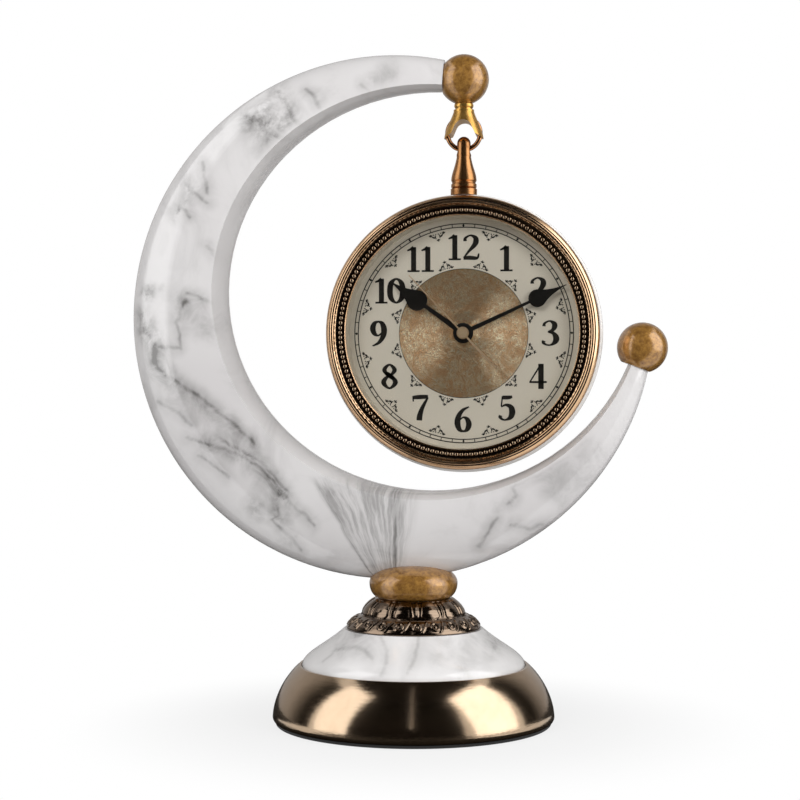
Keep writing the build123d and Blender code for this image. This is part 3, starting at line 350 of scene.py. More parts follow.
slit = cloth["slit"]
floorLift, footLift = cloth["lift"]
floorLine = [(cloth["near"], floorLift), (cloth["away"], floorLift)]
wallLine = floorLine + [(cloth["away"], cloth["height"])]
front, *others = cloth["bearings"]
hangCloth(front[0], slit["from"], wallLine)
hangCloth(slit["from"], slit["to"], floorLine + [(cloth["away"], slit["bottom"])])
hangCloth(slit["to"], front[1], wallLine)
for first, last in others:
    hangCloth(first, last, wallLine)
# a dark ring round the foot, seen only in reflections: painted shade of the floor close to the foot
hangCloth(-180, 180, [(cloth["near"], footLift), (cloth["foot"], footLift)])
half, back = cloth["strip"]
leftEdge, rightEdge = (math.tan(math.radians(slit[side])) for side in ("from", "to"))
far, end = cloth["away"], slit["end"]
layCloth([(-half, -far), (leftEdge * far, -far), (leftEdge * end, -end), (-half, -end)])
layCloth([(rightEdge * far, -far), (half, -far), (half, -end), (rightEdge * end, -end)])
layCloth([(-half, -end), (half, -end), (half, back), (-half, back)])
clothPiece = stagePiece("cloth", clothVerts, clothFaces, clothLook)
for ray in ("camera", "diffuse", "shadow", "transmission"):
    setattr(clothPiece, "visible_" + ray, False)
print("stage set")

# crescent: white glaze with grey veins, drawn in steps of the view and turned into mm on the face
veining = {
    "glaze": (0.67, 0.655, 0.652),
    "shade": (0.60, 0.58, 0.58),
    "grey": (0.13, 0.125, 0.12),
    "step": (0.511, 0.5086),  # mm for one step across and up
    "middle": (-5.1, 167.3),  # mm at step 400, 400
    "fine": [
        [(159, 372), (177, 384), (196, 394), (206, 404), (219, 414), (234, 426), (252, 441)],
        [(180, 437), (205, 445), (241, 455), (257, 467), (270, 479), (279, 492), (295, 512),
         (311, 527)],
        [(219, 442), (239, 449), (258, 461), (272, 475), (284, 491)],
        [(150, 401), (160, 404), (172, 411), (186, 424)],
        [(191, 455), (204, 464), (222, 480)],
        [(275, 506), (277, 517), (269, 522), (277, 533), (288, 543), (296, 552)],
        [(175, 346), (162, 345), (149, 348)],
        [(183, 301), (177, 309), (171, 321), (174, 331), (175, 343)],
        [(185, 294), (197, 296), (210, 302)],
        [(196, 158), (197, 169), (201, 178), (202, 188)],
        [(185, 187), (193, 192), (203, 199)],
        [(174, 202), (181, 207), (186, 213)],
        [(303, 86), (313, 93), (317, 102)],
        [(205, 243), (211, 248), (214, 254)],
        [(511, 487), (530, 477), (551, 467), (569, 453), (583, 440)],
        [(511, 487), (514, 497), (507, 503)],
        [(497, 518), (487, 532), (477, 545)],
        [(512, 525), (529, 529), (540, 526)],
        [(358, 80), (365, 88), (362, 96)],
    ],
    "bold": [
        [(273, 87), (280, 96), (287, 108), (296, 118), (304, 124)],
        [(258, 118), (267, 122), (273, 129), (279, 132), (290, 134)],
        [(240, 110), (248, 113), (256, 104)],
        [(182, 181), (185, 188), (176, 198), (171, 206)],
        [(135, 313), (139, 330), (146, 343), (149, 358), (152, 368), (160, 373)],
        [(274, 486), (281, 499)],
        [(274, 514), (277, 520)],
    ],
    "smear": [
        [(184, 305), (196, 319), (210, 326)],
        [(136, 318), (148, 352), (153, 372)],
        [(160, 378), (205, 412), (246, 446)],
        [(205, 440), (256, 470), (278, 500)],
        [(244, 122), (264, 140), (273, 151)],
        [(551, 485), (568, 478), (583, 467)],
        [(385, 70), (388, 92)],
    ],
    "clouds": [  # step across, step down, reach in steps, darkness
        (262, 112, 28, 0.95),
        (284, 118, 22, 0.80),
        (262, 136, 18, 0.45),
        (248, 124, 10, 0.30),
        (143, 291, 17, 0.80),
        (157, 288, 9, 0.30),
        (180, 186, 13, 0.35),
        (251, 509, 20, 0.55),
        (285, 545, 18, 0.42),
        (152, 360, 14, 0.40),
        (372, 76, 20, 0.34),
        (392, 70, 12, 0.30),
        (565, 482, 19, 0.36),
        (497, 508, 14, 0.26),
        (598, 452, 15, 0.24),
    ],
    "hollow": {"x": 9.9, "z": 223.8, "across": 108.3, "up": 103.5},  # mm
    "rim": {"ends": (1.03, 1.08), "left": 0.2},  # in hollows, and the share of the veins left on it
    "fan": {
        "tip": (392, 615),
        "first": (-0.57, -0.51),  # radians, where it comes in at the left
        "last": (0.30, 0.04),  # and goes out at the right
        "top": (130.0, 121.0),  # mm, where it comes in at the top
        "bold": [(-0.53, 0.03), (0.05, 0.07)],  # radians and half width of the boldest streaks
    },
}
# how far a vein spreads, in mm, and how dark it is
veinSpread = {
    "fine": (1.7, 0.30),
    "fineHalo": (7.0, 0.26),
    "bold": (2.6, 0.55),
    "boldHalo": (10.0, 0.45),
    "smear": (13.0, 0.42),
}


def onFace(spec, spot):
    across, down = spot
    return Vector(
        (
            spec["middle"][0] + (across - 400) * spec["step"][0],
            0.0,
            spec["middle"][1] + (400 - down) * spec["step"][1],
        )
    )


# mm from a warped spot to the nearest of some drawn lines
def nearLines(finish, spot, spec, lines):
    nearest = None
    for line in lines:
        for start, end in zip(line, line[1:]):
            first = onFace(spec, start)
            run = onFace(spec, end) - first
            off = finish.vector("SUBTRACT", spot, first)
            share = finish.vector("DOT_PRODUCT", off, run / run.length_squared, "Value")
            scaled = {0: run, "Scale": share.low(1.0).high(0.0)}
            reached = finish.node("ShaderNodeVectorMath", {"operation": "SCALE"}, scaled)
            gap = finish.vector("DISTANCE", off, reached, "Value")
            nearest = gap if nearest is None else nearest.low(gap)
    return nearest


# the object's x and z in mm, pushed about so that drawn lines wander
def wandering(finish, broad, close):
    x, z = finish.along("X", "Z")
    first = finish.noise(42.0, 3.0, 0.55)
    second = finish.noise(36.0, 3.0, 0.55, finish.stretched((1, 1, 1), (0.5, 0.9, 0.2)))
    flutter = finish.noise(170.0, 3.0, 0.6)
    across = x * toMm + (first - 0.5) * broad + (flutter - 0.5) * close
    up = z * toMm + (second - 0.5) * broad - (flutter - 0.5) * close
    return across, up


def spread(gap, kind, start=0.0):
    wide, dark = veinSpread[kind]
    return gap.ramp(wide, start) * dark


def veined(finish, spec, broad, close):
    across, up = wandering(finish, broad, close)
    spot = finish.node("ShaderNodeCombineXYZ", None, {"X": across, "Z": up})
    patchy = finish.noise(75.0, 6.0, 0.62, None, 0.6)
    fine = nearLines(finish, spot, spec, spec["fine"])
    marks = spread(fine, "fine") + spread(fine, "fineHalo")
    marks = marks * (0.35 + patchy.ramp(0.25, 0.75) * 0.9)
    if "bold" in spec:
        bold = nearLines(finish, spot, spec, spec["bold"])
        shred = finish.noise(110.0, 5.0, 0.65)
        core = spread(bold, "bold") * shred.ramp(0.38, 0.66)
        marks = marks.high(core + spread(bold, "boldHalo", 0.5) * patchy.ramp(0.3, 0.7))
    smear = nearLines(finish, spot, spec, spec["smear"])
    marks = marks + spread(smear, "smear") * patchy.ramp(0.22, 0.72)
    crumb = (patchy * 0.75 + finish.noise(260.0, 4.0, 0.65) * 0.25).ramp(0.32, 0.62)
    for across, down, reach, dark in spec["clouds"]:
        gap = finish.vector("DISTANCE", spot, onFace(spec, (across, down)), "Value")
        size = reach * spec["step"][0]
        marks = marks.high(gap.ramp(size, size * 0.1) * crumb * dark)
    return marks


glaze = Finish("veinedGlaze", "marble_glaze")
marks = veined(glaze, veining, 9.0, 2.0)
# the rim round the hollow stays nearly clear
hollow, rim = veining["hollow"], veining["rim"]
gx, gz = glaze.along("X", "Z")
ex = (gx * toMm - hollow["x"]) / hollow["across"]
ez = (gz * toMm - hollow["z"]) / hollow["up"]
marks = marks * (rim["left"] + (1.0 - rim["left"]) * ex.hypot(ez).ramp(*rim["ends"]))
# a fan of streaks over the base, drawn in towards the bead
fan = veining["fan"]
tip = onFace(veining, fan["tip"])
fanX, fanZ = wandering(glaze, 5.0, 0.3)
fanTurn = (fanX - tip.x).atan2(fanZ - tip.z)
fanWay = glaze.node("ShaderNodeCombineXYZ", None, {0: fanTurn * 1.6, 1: fanZ * 0.003, 2: 0.4})
streak = glaze.noise(13.0, 5.0, 0.66, fanWay)
band = fanTurn.ramp(*fan["first"]) * fanTurn.ramp(*fan["last"]) * fanZ.ramp(*fan["top"])
strands = streak.ramp(0.38, 0.66) * 0.46 + 0.10
for lean, wide in fan["bold"]:
    strands = strands + abs(fanTurn - lean).ramp(wide, 0.0) * 0.30
marks = marks.high(strands * band)
# faint clouds all over
mist = glaze.noise(24.0, 6.0, 0.6, None, 1.4).ramp(0.48, 0.78) * 0.2
glazeBase = glaze.mix(glaze.noise(9.0, 3.0).ramp(0.35, 0.7), veining["glaze"], veining["shade"])
glaze.surface(
    {
        "Base Color": glaze.mix((marks + mist).low(0.95), glazeBase, veining["grey"]),
        "Roughness": 0.06 + glaze.noise(42.0) * 0.06,
        "Coat Weight": 0.6,
        "Normal": glaze.bump(glaze.noise(60.0, 2.0), 0.04, 0.001),
    }
)
dress(glaze, "crescent")

# dome: the same glaze, loops of vein at the left and soft upright clouds at the right
domeVeins = {
    "glaze": (0.74, 0.725, 0.72),
    "step": (0.479, 0.476),
    "middle": (1.4, 167.3),
    "fine": [
        [(340, 650), (356, 644), (370, 649), (378, 660), (380, 671), (376, 682)],
        [(309, 676), (321, 664), (340, 660), (354, 662), (364, 668)],
        [(412, 636), (410, 651), (410, 667), (404, 679)],
        [(486, 638), (483, 650), (488, 664)],
    ],
    "smear": [
        [(434, 634), (436, 662)],
        [(466, 640), (463, 662), (459, 682)],
        [(482, 636), (484, 660)],
        [(333, 652), (352, 648)],
    ],
    "clouds": [(465, 655, 22, 0.34), (436, 645, 13, 0.22), (345, 654, 16, 0.22)],
    "share": 0.66,  # its veins are weaker than the crescent's
}
glazeDome = Finish("domeGlaze", "marble_glaze")
domeMarks = veined(glazeDome, domeVeins, 4.0, 1.2) * domeVeins["share"]
upright = glazeDome.stretched((1.0, 1.0, 0.35))
domeMist = glazeDome.noise(30.0, 5.0, 0.6, upright, 0.8).ramp(0.5, 0.8) * 0.14
domeShade = (domeMarks + domeMist).low(0.9)
glazeDome.surface(
    {
        "Base Color": glazeDome.mix(domeShade, domeVeins["glaze"], veining["grey"]),
        "Roughness": 0.07 + glazeDome.noise(26.0) * 0.06,
        "Coat Weight": 0.6,
        "Normal": glazeDome.bump(glazeDome.noise(80.0, 3.0), 0.05, 0.001),
    }
)
dress(glazeDome, "marble_dome")

# spun skirt: brushing runs round the axis
skirtSpec = {"tone": (0.52, 0.39, 0.27), "worn": (0.43, 0.315, 0.21), "rough": 0.07}
skirt = Finish("spunSkirt", "skirt_bronze")
sx, sy, sz = skirt.along("X", "Y", "Z")
brushWay = {"X": sx.atan2(sy) * 0.01, "Y": sx.hypot(sy), "Z": sz}
brushing = skirt.noise(900.0, 3.0, 0.6, skirt.node("ShaderNodeCombineXYZ", None, brushWay))
blot = skirt.noise(35.0, 4.0, 0.6)
skirt.surface(
    {
        "Base Color": skirt.mix(blot.ramp(0.35, 0.75), skirtSpec["tone"], skirtSpec["worn"]),
        "Metallic": 1.0,
        "Roughness": skirtSpec["rough"] + brushing * 0.10 + blot * 0.04,
        "Normal": skirt.bump(brushing, 0.12, 0.0003),
    }
)
dress(skirt, "base_skirt")


# mottled old gold: balls, bead, claw and second hand
def mottled(name, slot, pale, dark, metal, coat=0.25, grain=0.03):
    made = Finish(name, slot)
    speck = made.noise(420.0, 4.0, 0.7)
    cloud = made.noise(60.0, 5.0, 0.6)
    tint = made.mix(speck.ramp(0.3, 0.7), dark, pale)
    tint = made.mix(cloud.ramp(0.55, 0.8) * 0.5, tint, dark)
    made.surface(
        {
            "Base Color": tint,
            "Metallic": metal,
            "Coat Weight": coat,
            "Coat Roughness": 0.13,
            "Roughness": 0.2 + speck * 0.12 + cloud * 0.08,
            "Normal": made.bump(speck, grain, 0.0003),
        }
    )
    return made


ballPale, ballDark = (0.46, 0.235, 0.052), (0.22, 0.10, 0.021)
oldGold = mottled("oldGold", "old_gold", ballPale, ballDark, metal=0.4, coat=1.0, grain=0.1)
dress(oldGold, "saddle_bead", "upper_finial", "lower_finial")
clawPale, clawDark = (0.72, 0.42, 0.11), (0.56, 0.30, 0.072)
clawGold = mottled("clawGold", "claw_gold", clawPale, clawDark, metal=0.9, coat=0.0)
dress(clawGold, "claw_hook")
handPale, handDark = (0.78, 0.58, 0.38), (0.66, 0.46, 0.28)
secondGold = mottled("secondGold", "brass_plain", handPale, handDark, metal=0.45)
dress(secondGold, "second_hand")


# polished copper, tarnished in patches: eye, stem, ring and beads
def polished(name, bright, tarnish, rough=0.14):
    made = Finish(name, "copper")
    patch = made.noise(90.0, 5.0, 0.65)
    fine = made.noise(600.0, 3.0, 0.6)
    wear = patch.ramp(0.45, 0.75)
    made.surface(
        {
            "Base Color": made.mix(wear, bright, tarnish),
            "Metallic": 1.0,
            "Roughness": rough + wear * 0.10 + fine * 0.05,
            "Normal": made.bump(fine, 0.06, 0.0002),
        }
    )
    return made


copper = polished("polishedCopper", (0.44, 0.215, 0.085), (0.25, 0.11, 0.04), rough=0.26)
dress(copper, "bail_eye", "pendant_stem")
ringMetal = polished("ringCopper", (0.52, 0.26, 0.12), (0.34, 0.16, 0.07))
dress(ringMetal, "hang_ring")

# bezel: bright rolls, with painted shade darkening the line between them and the beads' channel
bezelSpec = {
    "channel": ((60.1, 60.5), (64.7, 64.1)),  # mm from the clock's axis, its inner and outer edge
    "line": 67.7,
    "lineHalf": (0.5, 0.2),
    "tints": ((0.78, 0.52, 0.315), (0.60, 0.38, 0.205)),
    # dark brown of the painted shade in the line between the rolls and in the beads' channel
    "recessShadeTone": (0.11, 0.068, 0.038),
    "rough": 0.20,
}
bezelMetal = Finish("bezelBronze", "copper")
bx, bz = bezelMetal.along("X", "Z")
wide = (bx - clockCentre.x).hypot(bz - clockCentre.z) * toMm
inside, outside = bezelSpec["channel"]
# the line between the rolls and the beads' channel darkened: painted shade in the recesses
paintedRecessShade = wide.ramp(*inside) * wide.ramp(*outside)
paintedRecessShade = paintedRecessShade.high(abs(wide - bezelSpec["line"]).ramp(*bezelSpec["lineHalf"]))
wear = bezelMetal.noise(90.0, 5.0, 0.65)
bezelTint = bezelMetal.mix(wear.ramp(0.45, 0.75), *bezelSpec["tints"])
bezelMetal.surface(
    {
        "Base Color": bezelMetal.mix(paintedRecessShade, bezelTint, bezelSpec["recessShadeTone"]),
        "Metallic": 1.0,
        "Roughness": bezelSpec["rough"] + wear * 0.06,
    }
)
dress(bezelMetal, "bezel")
print("stand, links and bezel finished")


# white case, and the plain parts behind it
def moulded(name, slot, tone, rough, grain=300.0, depth=0.0002, coat=0.0):
    made = Finish(name, slot)
    pits = made.noise(grain, 3.0, 0.6)
    tide = made.noise(25.0, 3.0)
    shade = tuple(part * 0.9 for part in tone)
    made.surface(
        {
            "Base Color": made.mix(tide.ramp(0.3, 0.7), tone, shade),
            "Roughness": rough + pits * 0.08,
            "Coat Weight": coat,
            "Normal": made.bump(pits, 0.1, depth),
        }
    )
    return made


caseWhite = moulded("caseWhite", "case_white", (0.83, 0.82, 0.80), rough=0.16, grain=60.0, coat=0.3)
dress(caseWhite, "case_shell", "rear_cover")
rubber = moulded("softRubber", "black_rubber", (0.02, 0.02, 0.02), rough=0.6)
dress(rubber, "glass_gasket", "rubber_washer")
padRubber = moulded("padRubber", "pad_rubber", (0.016, 0.016, 0.016), rough=0.62, grain=500.0)
dress(padRubber, "base_pad")
boxTone = (0.02, 0.02, 0.021)
boxBlack = moulded("boxBlack", "movement_black", boxTone, rough=0.5, grain=700.0, depth=0.0001)
dress(boxBlack, "movement_box", "movement_lid", "setting_knob")
wheelCream = moulded("wheelCream", "wheel_plastic", (0.82, 0.80, 0.72), rough=0.38)
wheels = ("hour_wheel", "minute_wheel", "third_wheel", "middle_wheel", "rotor")
dress(wheelCream, "middle_plate", *wheels)
boardGreen = moulded("boardGreen", "board_green", (0.03, 0.16, 0.07), rough=0.35)
dress(boardGreen, "circuit_board")
cellWrap = moulded("cellSleeve", "cell_wrap", (0.10, 0.11, 0.13), rough=0.3, grain=80.0)
dress(cellWrap, "cell")
handBlack = moulded("handBlack", "hand_black", (0.012, 0.011, 0.010), rough=0.34, grain=400.0)
dress(handBlack, "hour_hand", "minute_hand")


# turned or drawn metal, out of sight or seen from behind
def turned(name, slot, tone, rough=0.25, scale=700.0):
    made = Finish(name, slot)
    cut = made.noise(scale, 2.0, 0.5, made.stretched((1.0, 1.0, 8.0)))
    stain = made.noise(60.0, 4.0)
    dull = tuple(part * 0.75 for part in tone)
    made.surface(
        {
            "Base Color": made.mix(stain.ramp(0.4, 0.8), tone, dull),
            "Metallic": 1.0,
            "Roughness": rough + cut * 0.12,
            "Normal": made.bump(cut, 0.1, 0.0002),
        }
    )
    return made


steel = turned("zincSteel", "steel", (0.62, 0.62, 0.60))
fixings = ("rod_washer", "rod_nut", "tie_rod", "upper_stud", "lower_stud", "stem_screw")
dress(steel, "stator", "cover_screws", *fixings)
iron = turned("castIron", "iron", (0.12, 0.115, 0.11), rough=0.5, scale=200.0)
dress(iron, "ballast_disc")
brass = turned("turnedBrass", "brass_plain", (0.72, 0.52, 0.22))
dress(brass, "dial_nut", "minute_arbor", "second_arbor", "centre_wheel", "keel_insert")
nickel = turned("nickelStrip", "nickel", (0.66, 0.64, 0.58))
dress(nickel, "contact_negative", "contact_positive")
winding = turned("woundCopper", "winding", (0.58, 0.24, 0.10), rough=0.3, scale=1500.0)
dress(winding, "coil")

# glass: clear through, shiny at a low angle
clear = Finish("clearGlass", "clear")
edge = clear.node("ShaderNodeFresnel", None, {"IOR": 1.45})
through = clear.node("ShaderNodeBsdfTransparent", None, {"Color": (0.985, 0.99, 0.985)})
shine = clear.node("ShaderNodeBsdfGlossy", None, {"Color": (1.0, 1.0, 1.0), "Roughness": 0.02})
clear.shade(clear.node("ShaderNodeMixShader", None, {0: edge * 0.9, 1: through, 2: shine}))
dress(clear, "glass")
print("case and movement finished")


# flat print on the dial, in mm from the clock's centre
class Print:
    def __init__(self, lift):
        self.depth = dialFront - lift * mm
        self.verts = []
        self.faces = []

    def polygon(self, points):
        before = points[-1:] + points[:-1]
        if sum(a[0] * b[1] - b[0] * a[1] for a, b in zip(before, points)) < 0:
            points = points[::-1]  # so that each faces the front
        start = len(self.verts)
        for x, y in points:
            self.verts.append((clockCentre.x + x * mm, self.depth, clockCentre.z + y * mm))
        self.faces.append(list(range(start, start + len(points))))

    def ring(self, inner, outer, steps=180):
        for i in range(steps):
            a, b = (2 * math.pi * k / steps for k in (i, i + 1))
            self.polygon(
                [
                    (inner * math.sin(a), inner * math.cos(a)),
                    (outer * math.sin(a), outer * math.cos(a)),
                    (outer * math.sin(b), outer * math.cos(b)),
                    (inner * math.sin(b), inner * math.cos(b)),
                ]
            )

    def disc(self, x, y, radius, steps):
        turns = [2 * math.pi * k / steps for k in range(steps)]
        self.polygon([(x + radius * math.cos(t), y + radius * math.sin(t)) for t in turns])

    # a stroke of changing width through points (x, y, width)
    def stroke(self, points, place, closed=False, steps=6):
        line = smoothLine(points, closed, steps)
        sides = []
        count = len(line)
        for i, (x, y, width) in enumerate(line):
            before = line[i - 1] if i or closed else line[0]
            after = line[(i + 1) % count] if i + 1 < count or closed else line[-1]
            lean = math.atan2(after[1] - before[1], after[0] - before[0])
            nx, ny = -math.sin(lean) * width / 2, math.cos(lean) * width / 2
            sides.append((place(x + nx, y + ny), place(x - nx, y - ny)))
        for i in range(count if closed else count - 1):
            j = (i + 1) % count
            self.polygon([sides[i][0], sides[j][0], sides[j][1], sides[i][1]])

    def make(self, name, finish):
        addPiece(name, self.verts, self.faces, finish, "clock")


# a curve through all its points
def smoothLine(points, closed, steps):
    found = []
    count = len(points)
    for i in range(count if closed else count - 1):
        if closed:
            a, b, c, d = (points[(i + k) % count] for k in (-1, 0, 1, 2))
        else:
            a, b, c, d = (points[min(max(i + k, 0), count - 1)] for k in (-1, 0, 1, 2))
        for s in range(steps):
            t = s / steps
            found.append(
                tuple(
                    0.5
                    * (
                        2 * q
                        + (r - p) * t
                        + (2 * p - 5 * q + 4 * r - u) * t * t
                        + (3 * q - p - 3 * r + u) * t * t * t
                    )
                    for p, q, r, u in zip(a, b, c, d)
                )
            )
    if not closed:
        found.append(points[-1])
    return found


# a spot on the dial: an angle from the top, a radius, and a step to the side
def around(angle, radius, side=0.0):
    s, c = math.sin(angle), math.cos(angle)
    return (radius * s + side * c, radius * c - side * s)


# dial: pale champagne plate
plate = Finish("champagnePlate", "dial_print")
plateGrain = plate.noise(900.0, 2.0)
plateTide = plate.noise(12.0, 3.0)
plate.surface(
    {
        "Base Color": plate.mix(plateTide.ramp(0.3, 0.7), (0.84, 0.77, 0.66), (0.80, 0.725, 0.615)),
        "Metallic": 0.1,
        "Roughness": 0.42 + plateGrain * 0.1,
        "Normal": plate.bump(plateGrain, 0.05, 0.0001),
    }
)
dress(plate, "dial", "inner_ring")

dialMarks = {  # mm
    "lift": 0.09,  # off the plate
    "middle": 33.2,
    "middleLine": (-0.05, 0.28),
    "trackOuter": 56.6,
    "trackInner": 54.8,
    "lineWidth": 0.5,
    "tickHalf": 0.2,
    "diamond": (0.95, 0.65),  # half its length and half its width
    "numberRadius": 44.4,
    "numberHeight": 13.2,
    "numberWidth": 1.12,  # wider than drawn
}
# gold middle: turned in fine ridges, with pale worm-like scrolls
discSpec = {
    "inner": 5.0,
    "outer": dialMarks["middle"],
    "pitch": 0.5,
    "lift": 0.05,
    "depth": 0.15,
    "steps": 144,
    "tone": (0.82, 0.52, 0.29),
    "scroll": (1.0, 0.87, 0.62),
}
goldDisc = Finish("goldDisc", "dial_print")
worm = abs(goldDisc.noise(620.0, 2.0, 0.5, None, 1.2) - 0.5).ramp(0.09, 0.02)
worm = worm * goldDisc.noise(200.0, 2.0).ramp(0.3, 0.55)
goldDisc.surface(
    {
        "Base Color": goldDisc.mix(worm, discSpec["tone"], discSpec["scroll"]),
        "Metallic": 0.76,
        "Roughness": 0.23 - worm * 0.1,
    }
)
discVerts, discFaces = [], []
steps = discSpec["steps"]
ridges = round((discSpec["outer"] - discSpec["inner"]) / discSpec["pitch"] * 2)
for row in range(ridges + 1):
    r = discSpec["inner"] + (discSpec["outer"] - discSpec["inner"]) * row / ridges
    lift = discSpec["lift"] + discSpec["depth"] * (row % 2)
    for step in range(steps):
        x, y = around(2 * math.pi * step / steps, r * mm)
        discVerts.append((clockCentre.x + x, dialFront - lift * mm, clockCentre.z + y))
for row in range(ridges):
    for step in range(steps):
        a, b = row * steps + step, row * steps + (step + 1) % steps
        discFaces.append((a, a + steps, b + steps, b))
addPiece("gold_middle", discVerts, discFaces, goldDisc, "clock")

ink = Finish("printInk", "dial_print")
inkGrain = ink.noise(600.0, 2.0)
inkTint = ink.mix(inkGrain.ramp(0.3, 0.7), (0.012, 0.010, 0.009), (0.022, 0.019, 0.016))
ink.surface({"Base Color": inkTint, "Roughness": 0.45 + inkGrain * 0.1})

# strokes of each digit as (x, y, width), and whether they close; a nine is a six turned over
digits = {
    "1": [
        ([(0, 0.03, 0.2), (0, 0.98, 0.2)], False),
        ([(-0.24, 0.035, 0.07), (0.24, 0.035, 0.07)], False),
        ([(-0.25, 0.84, 0.06), (-0.1, 0.9, 0.1), (0, 0.97, 0.14)], False),
    ],
    "2": [
        ([(-0.2, 0.74, 0.13), (-0.19, 0.86, 0.1), (-0.02, 0.965, 0.07), (0.15, 0.88, 0.16),
          (0.18, 0.74, 0.2), (0.12, 0.58, 0.17), (-0.08, 0.33, 0.09), (-0.24, 0.1, 0.06)], False),
        ([(-0.26, 0.075, 0.13), (-0.05, 0.09, 0.16), (0.15, 0.075, 0.14), (0.24, 0.1, 0.09),
          (0.28, 0.26, 0.05)], False),
    ],
    "3": [
        ([(-0.2, 0.76, 0.12), (-0.17, 0.88, 0.09), (0, 0.965, 0.07), (0.15, 0.87, 0.17),
          (0.17, 0.75, 0.19), (0.1, 0.61, 0.13), (-0.06, 0.545, 0.06)], False),
        ([(-0.06, 0.54, 0.06), (0.12, 0.49, 0.13), (0.22, 0.33, 0.21), (0.2, 0.17, 0.19),
          (0.06, 0.04, 0.08), (-0.1, 0.035, 0.07), (-0.22, 0.12, 0.11), (-0.2, 0.2, 0.13)], False),
    ],
    "4": [
        ([(0.1, 0.0, 0.19), (0.1, 0.98, 0.19)], False),
        ([(0.1, 0.97, 0.06), (-0.27, 0.3, 0.05)], False),
        ([(-0.3, 0.27, 0.08), (0.3, 0.27, 0.08)], False),
    ],
    "5": [
        ([(-0.14, 0.9, 0.15), (0.06, 0.9, 0.15), (0.2, 0.93, 0.1)], False),
        ([(-0.14, 0.95, 0.05), (-0.18, 0.55, 0.05)], False),
        ([(-0.18, 0.53, 0.05), (-0.02, 0.61, 0.1), (0.15, 0.53, 0.18), (0.2, 0.34, 0.22),
          (0.15, 0.14, 0.18), (0, 0.035, 0.08), (-0.13, 0.04, 0.08), (-0.22, 0.13, 0.12),
          (-0.2, 0.2, 0.12)], False),
    ],
    "6": [
        ([(0.2, 0.985, 0.05), (-0.02, 0.86, 0.12), (-0.17, 0.62, 0.18), (-0.21, 0.34, 0.21),
          (-0.14, 0.1, 0.16), (0, 0.03, 0.08), (0.13, 0.1, 0.16), (0.19, 0.3, 0.2),
          (0.13, 0.5, 0.16), (0, 0.575, 0.07), (-0.13, 0.48, 0.06)], False),
    ],
    "7": [
        ([(-0.26, 0.9, 0.14), (0, 0.92, 0.17), (0.26, 0.93, 0.14)], False),
        ([(-0.27, 0.96, 0.05), (-0.26, 0.74, 0.05)], False),
        ([(0.25, 0.9, 0.07), (0.06, 0.5, 0.14), (-0.03, 0.2, 0.19), (-0.05, 0, 0.2)], False),
    ],
    "8": [
        ([(0, 0.96, 0.08), (0.18, 0.75, 0.16), (0, 0.54, 0.08), (-0.18, 0.75, 0.16)], True),
        ([(0, 0.52, 0.09), (0.21, 0.27, 0.18), (0, 0.03, 0.08), (-0.21, 0.27, 0.18)], True),
        ([(-0.15, 0.66, 0.13), (0, 0.53, 0.18), (0.16, 0.40, 0.14)], False),
    ],
    "0": [
        ([(0, 0.965, 0.08), (0.2, 0.75, 0.19), (0.2, 0.25, 0.19), (0, 0.035, 0.08),
          (-0.2, 0.25, 0.19), (-0.2, 0.75, 0.19)], True),
    ],
}
pairs = {"10": (-0.32, 0.27), "11": (-0.28, 0.28), "12": (-0.34, 0.29)}  # where two digits stand
numbers = Print(dialMarks["lift"])
tall = dialMarks["numberHeight"]
for hour in range(1, 13):
    midX, midY = around(math.radians(30 * hour), dialMarks["numberRadius"])
    word = str(hour)
    for digit, shift in zip(word, pairs.get(word, (0.0,))):
        flip = -1 if digit == "9" else 1
        wide = 1.0 if digit == "1" else dialMarks["numberWidth"]
        for points, closed in digits["6" if digit == "9" else digit]:
            numbers.stroke(
                points,
                lambda x, y: (
                    midX + tall * (shift + wide * flip * x),
                    midY + tall * flip * (y - 0.5),
                ),
                closed,
            )
numbers.make("dial_numbers", ink)
print("numbers printed")

# minute track: two circles, a tick each minute, a diamond every five
track = Print(dialMarks["lift"])
thin, tickHalf = dialMarks["lineWidth"], dialMarks["tickHalf"]
outerTrack, innerTrack = dialMarks["trackOuter"], dialMarks["trackInner"]
halfLong, halfWide = dialMarks["diamond"]
for radius in (outerTrack, innerTrack):
    track.ring(radius - thin / 2, radius + thin / 2)
track.ring(*(dialMarks["middle"] + edge for edge in dialMarks["middleLine"]))
for minute in range(60):
    angle = math.radians(6 * minute)
    track.polygon(
        [
            around(angle, innerTrack, -tickHalf),
            around(angle, outerTrack, -tickHalf),
            around(angle, outerTrack, tickHalf),
            around(angle, innerTrack, tickHalf),
        ]
    )
    if minute % 5 == 0:
        middle = (innerTrack + outerTrack) / 2
        track.polygon(
            [
                around(angle, middle - halfLong),
                around(angle, middle, halfWide),
                around(angle, middle + halfLong),
                around(angle, middle, -halfWide),
            ]
        )
track.make("minute_track", ink)

# sprigs between the numbers: a dotted triangle with a small curl along each sloping edge
sprig = {
    "outer": {"base": 53.2, "tall": -3.4, "half": 3.5},
    "inner": {"base": 34.4, "tall": 3.8, "half": 3.1},
    "corners": [(-1.0, 0.0), (1.0, 0.0), (0.0, 0.9)],  # in halves across and heights up
    "bud": [  # x, y and size in mm
        (0.0, 0.0, 0.46),
        (-0.62, 0.2, 0.34),
        (0.62, 0.2, 0.34),
        (0.0, 0.7, 0.32),
    ],
    "curl": [  # in halves and heights, with its width
        (0.86, 0.12, 0.084),
        (0.62, 0.42, 0.252),
        (0.36, 0.46, 0.21),
        (0.30, 0.26, 0.126),
        (0.44, 0.20, 0.084),
    ],
    "dots": [(0.55, 0.02, 0.32), (0.2, 0.06, 0.36), (0.3, 0.66, 0.32)],  # with size in mm
}


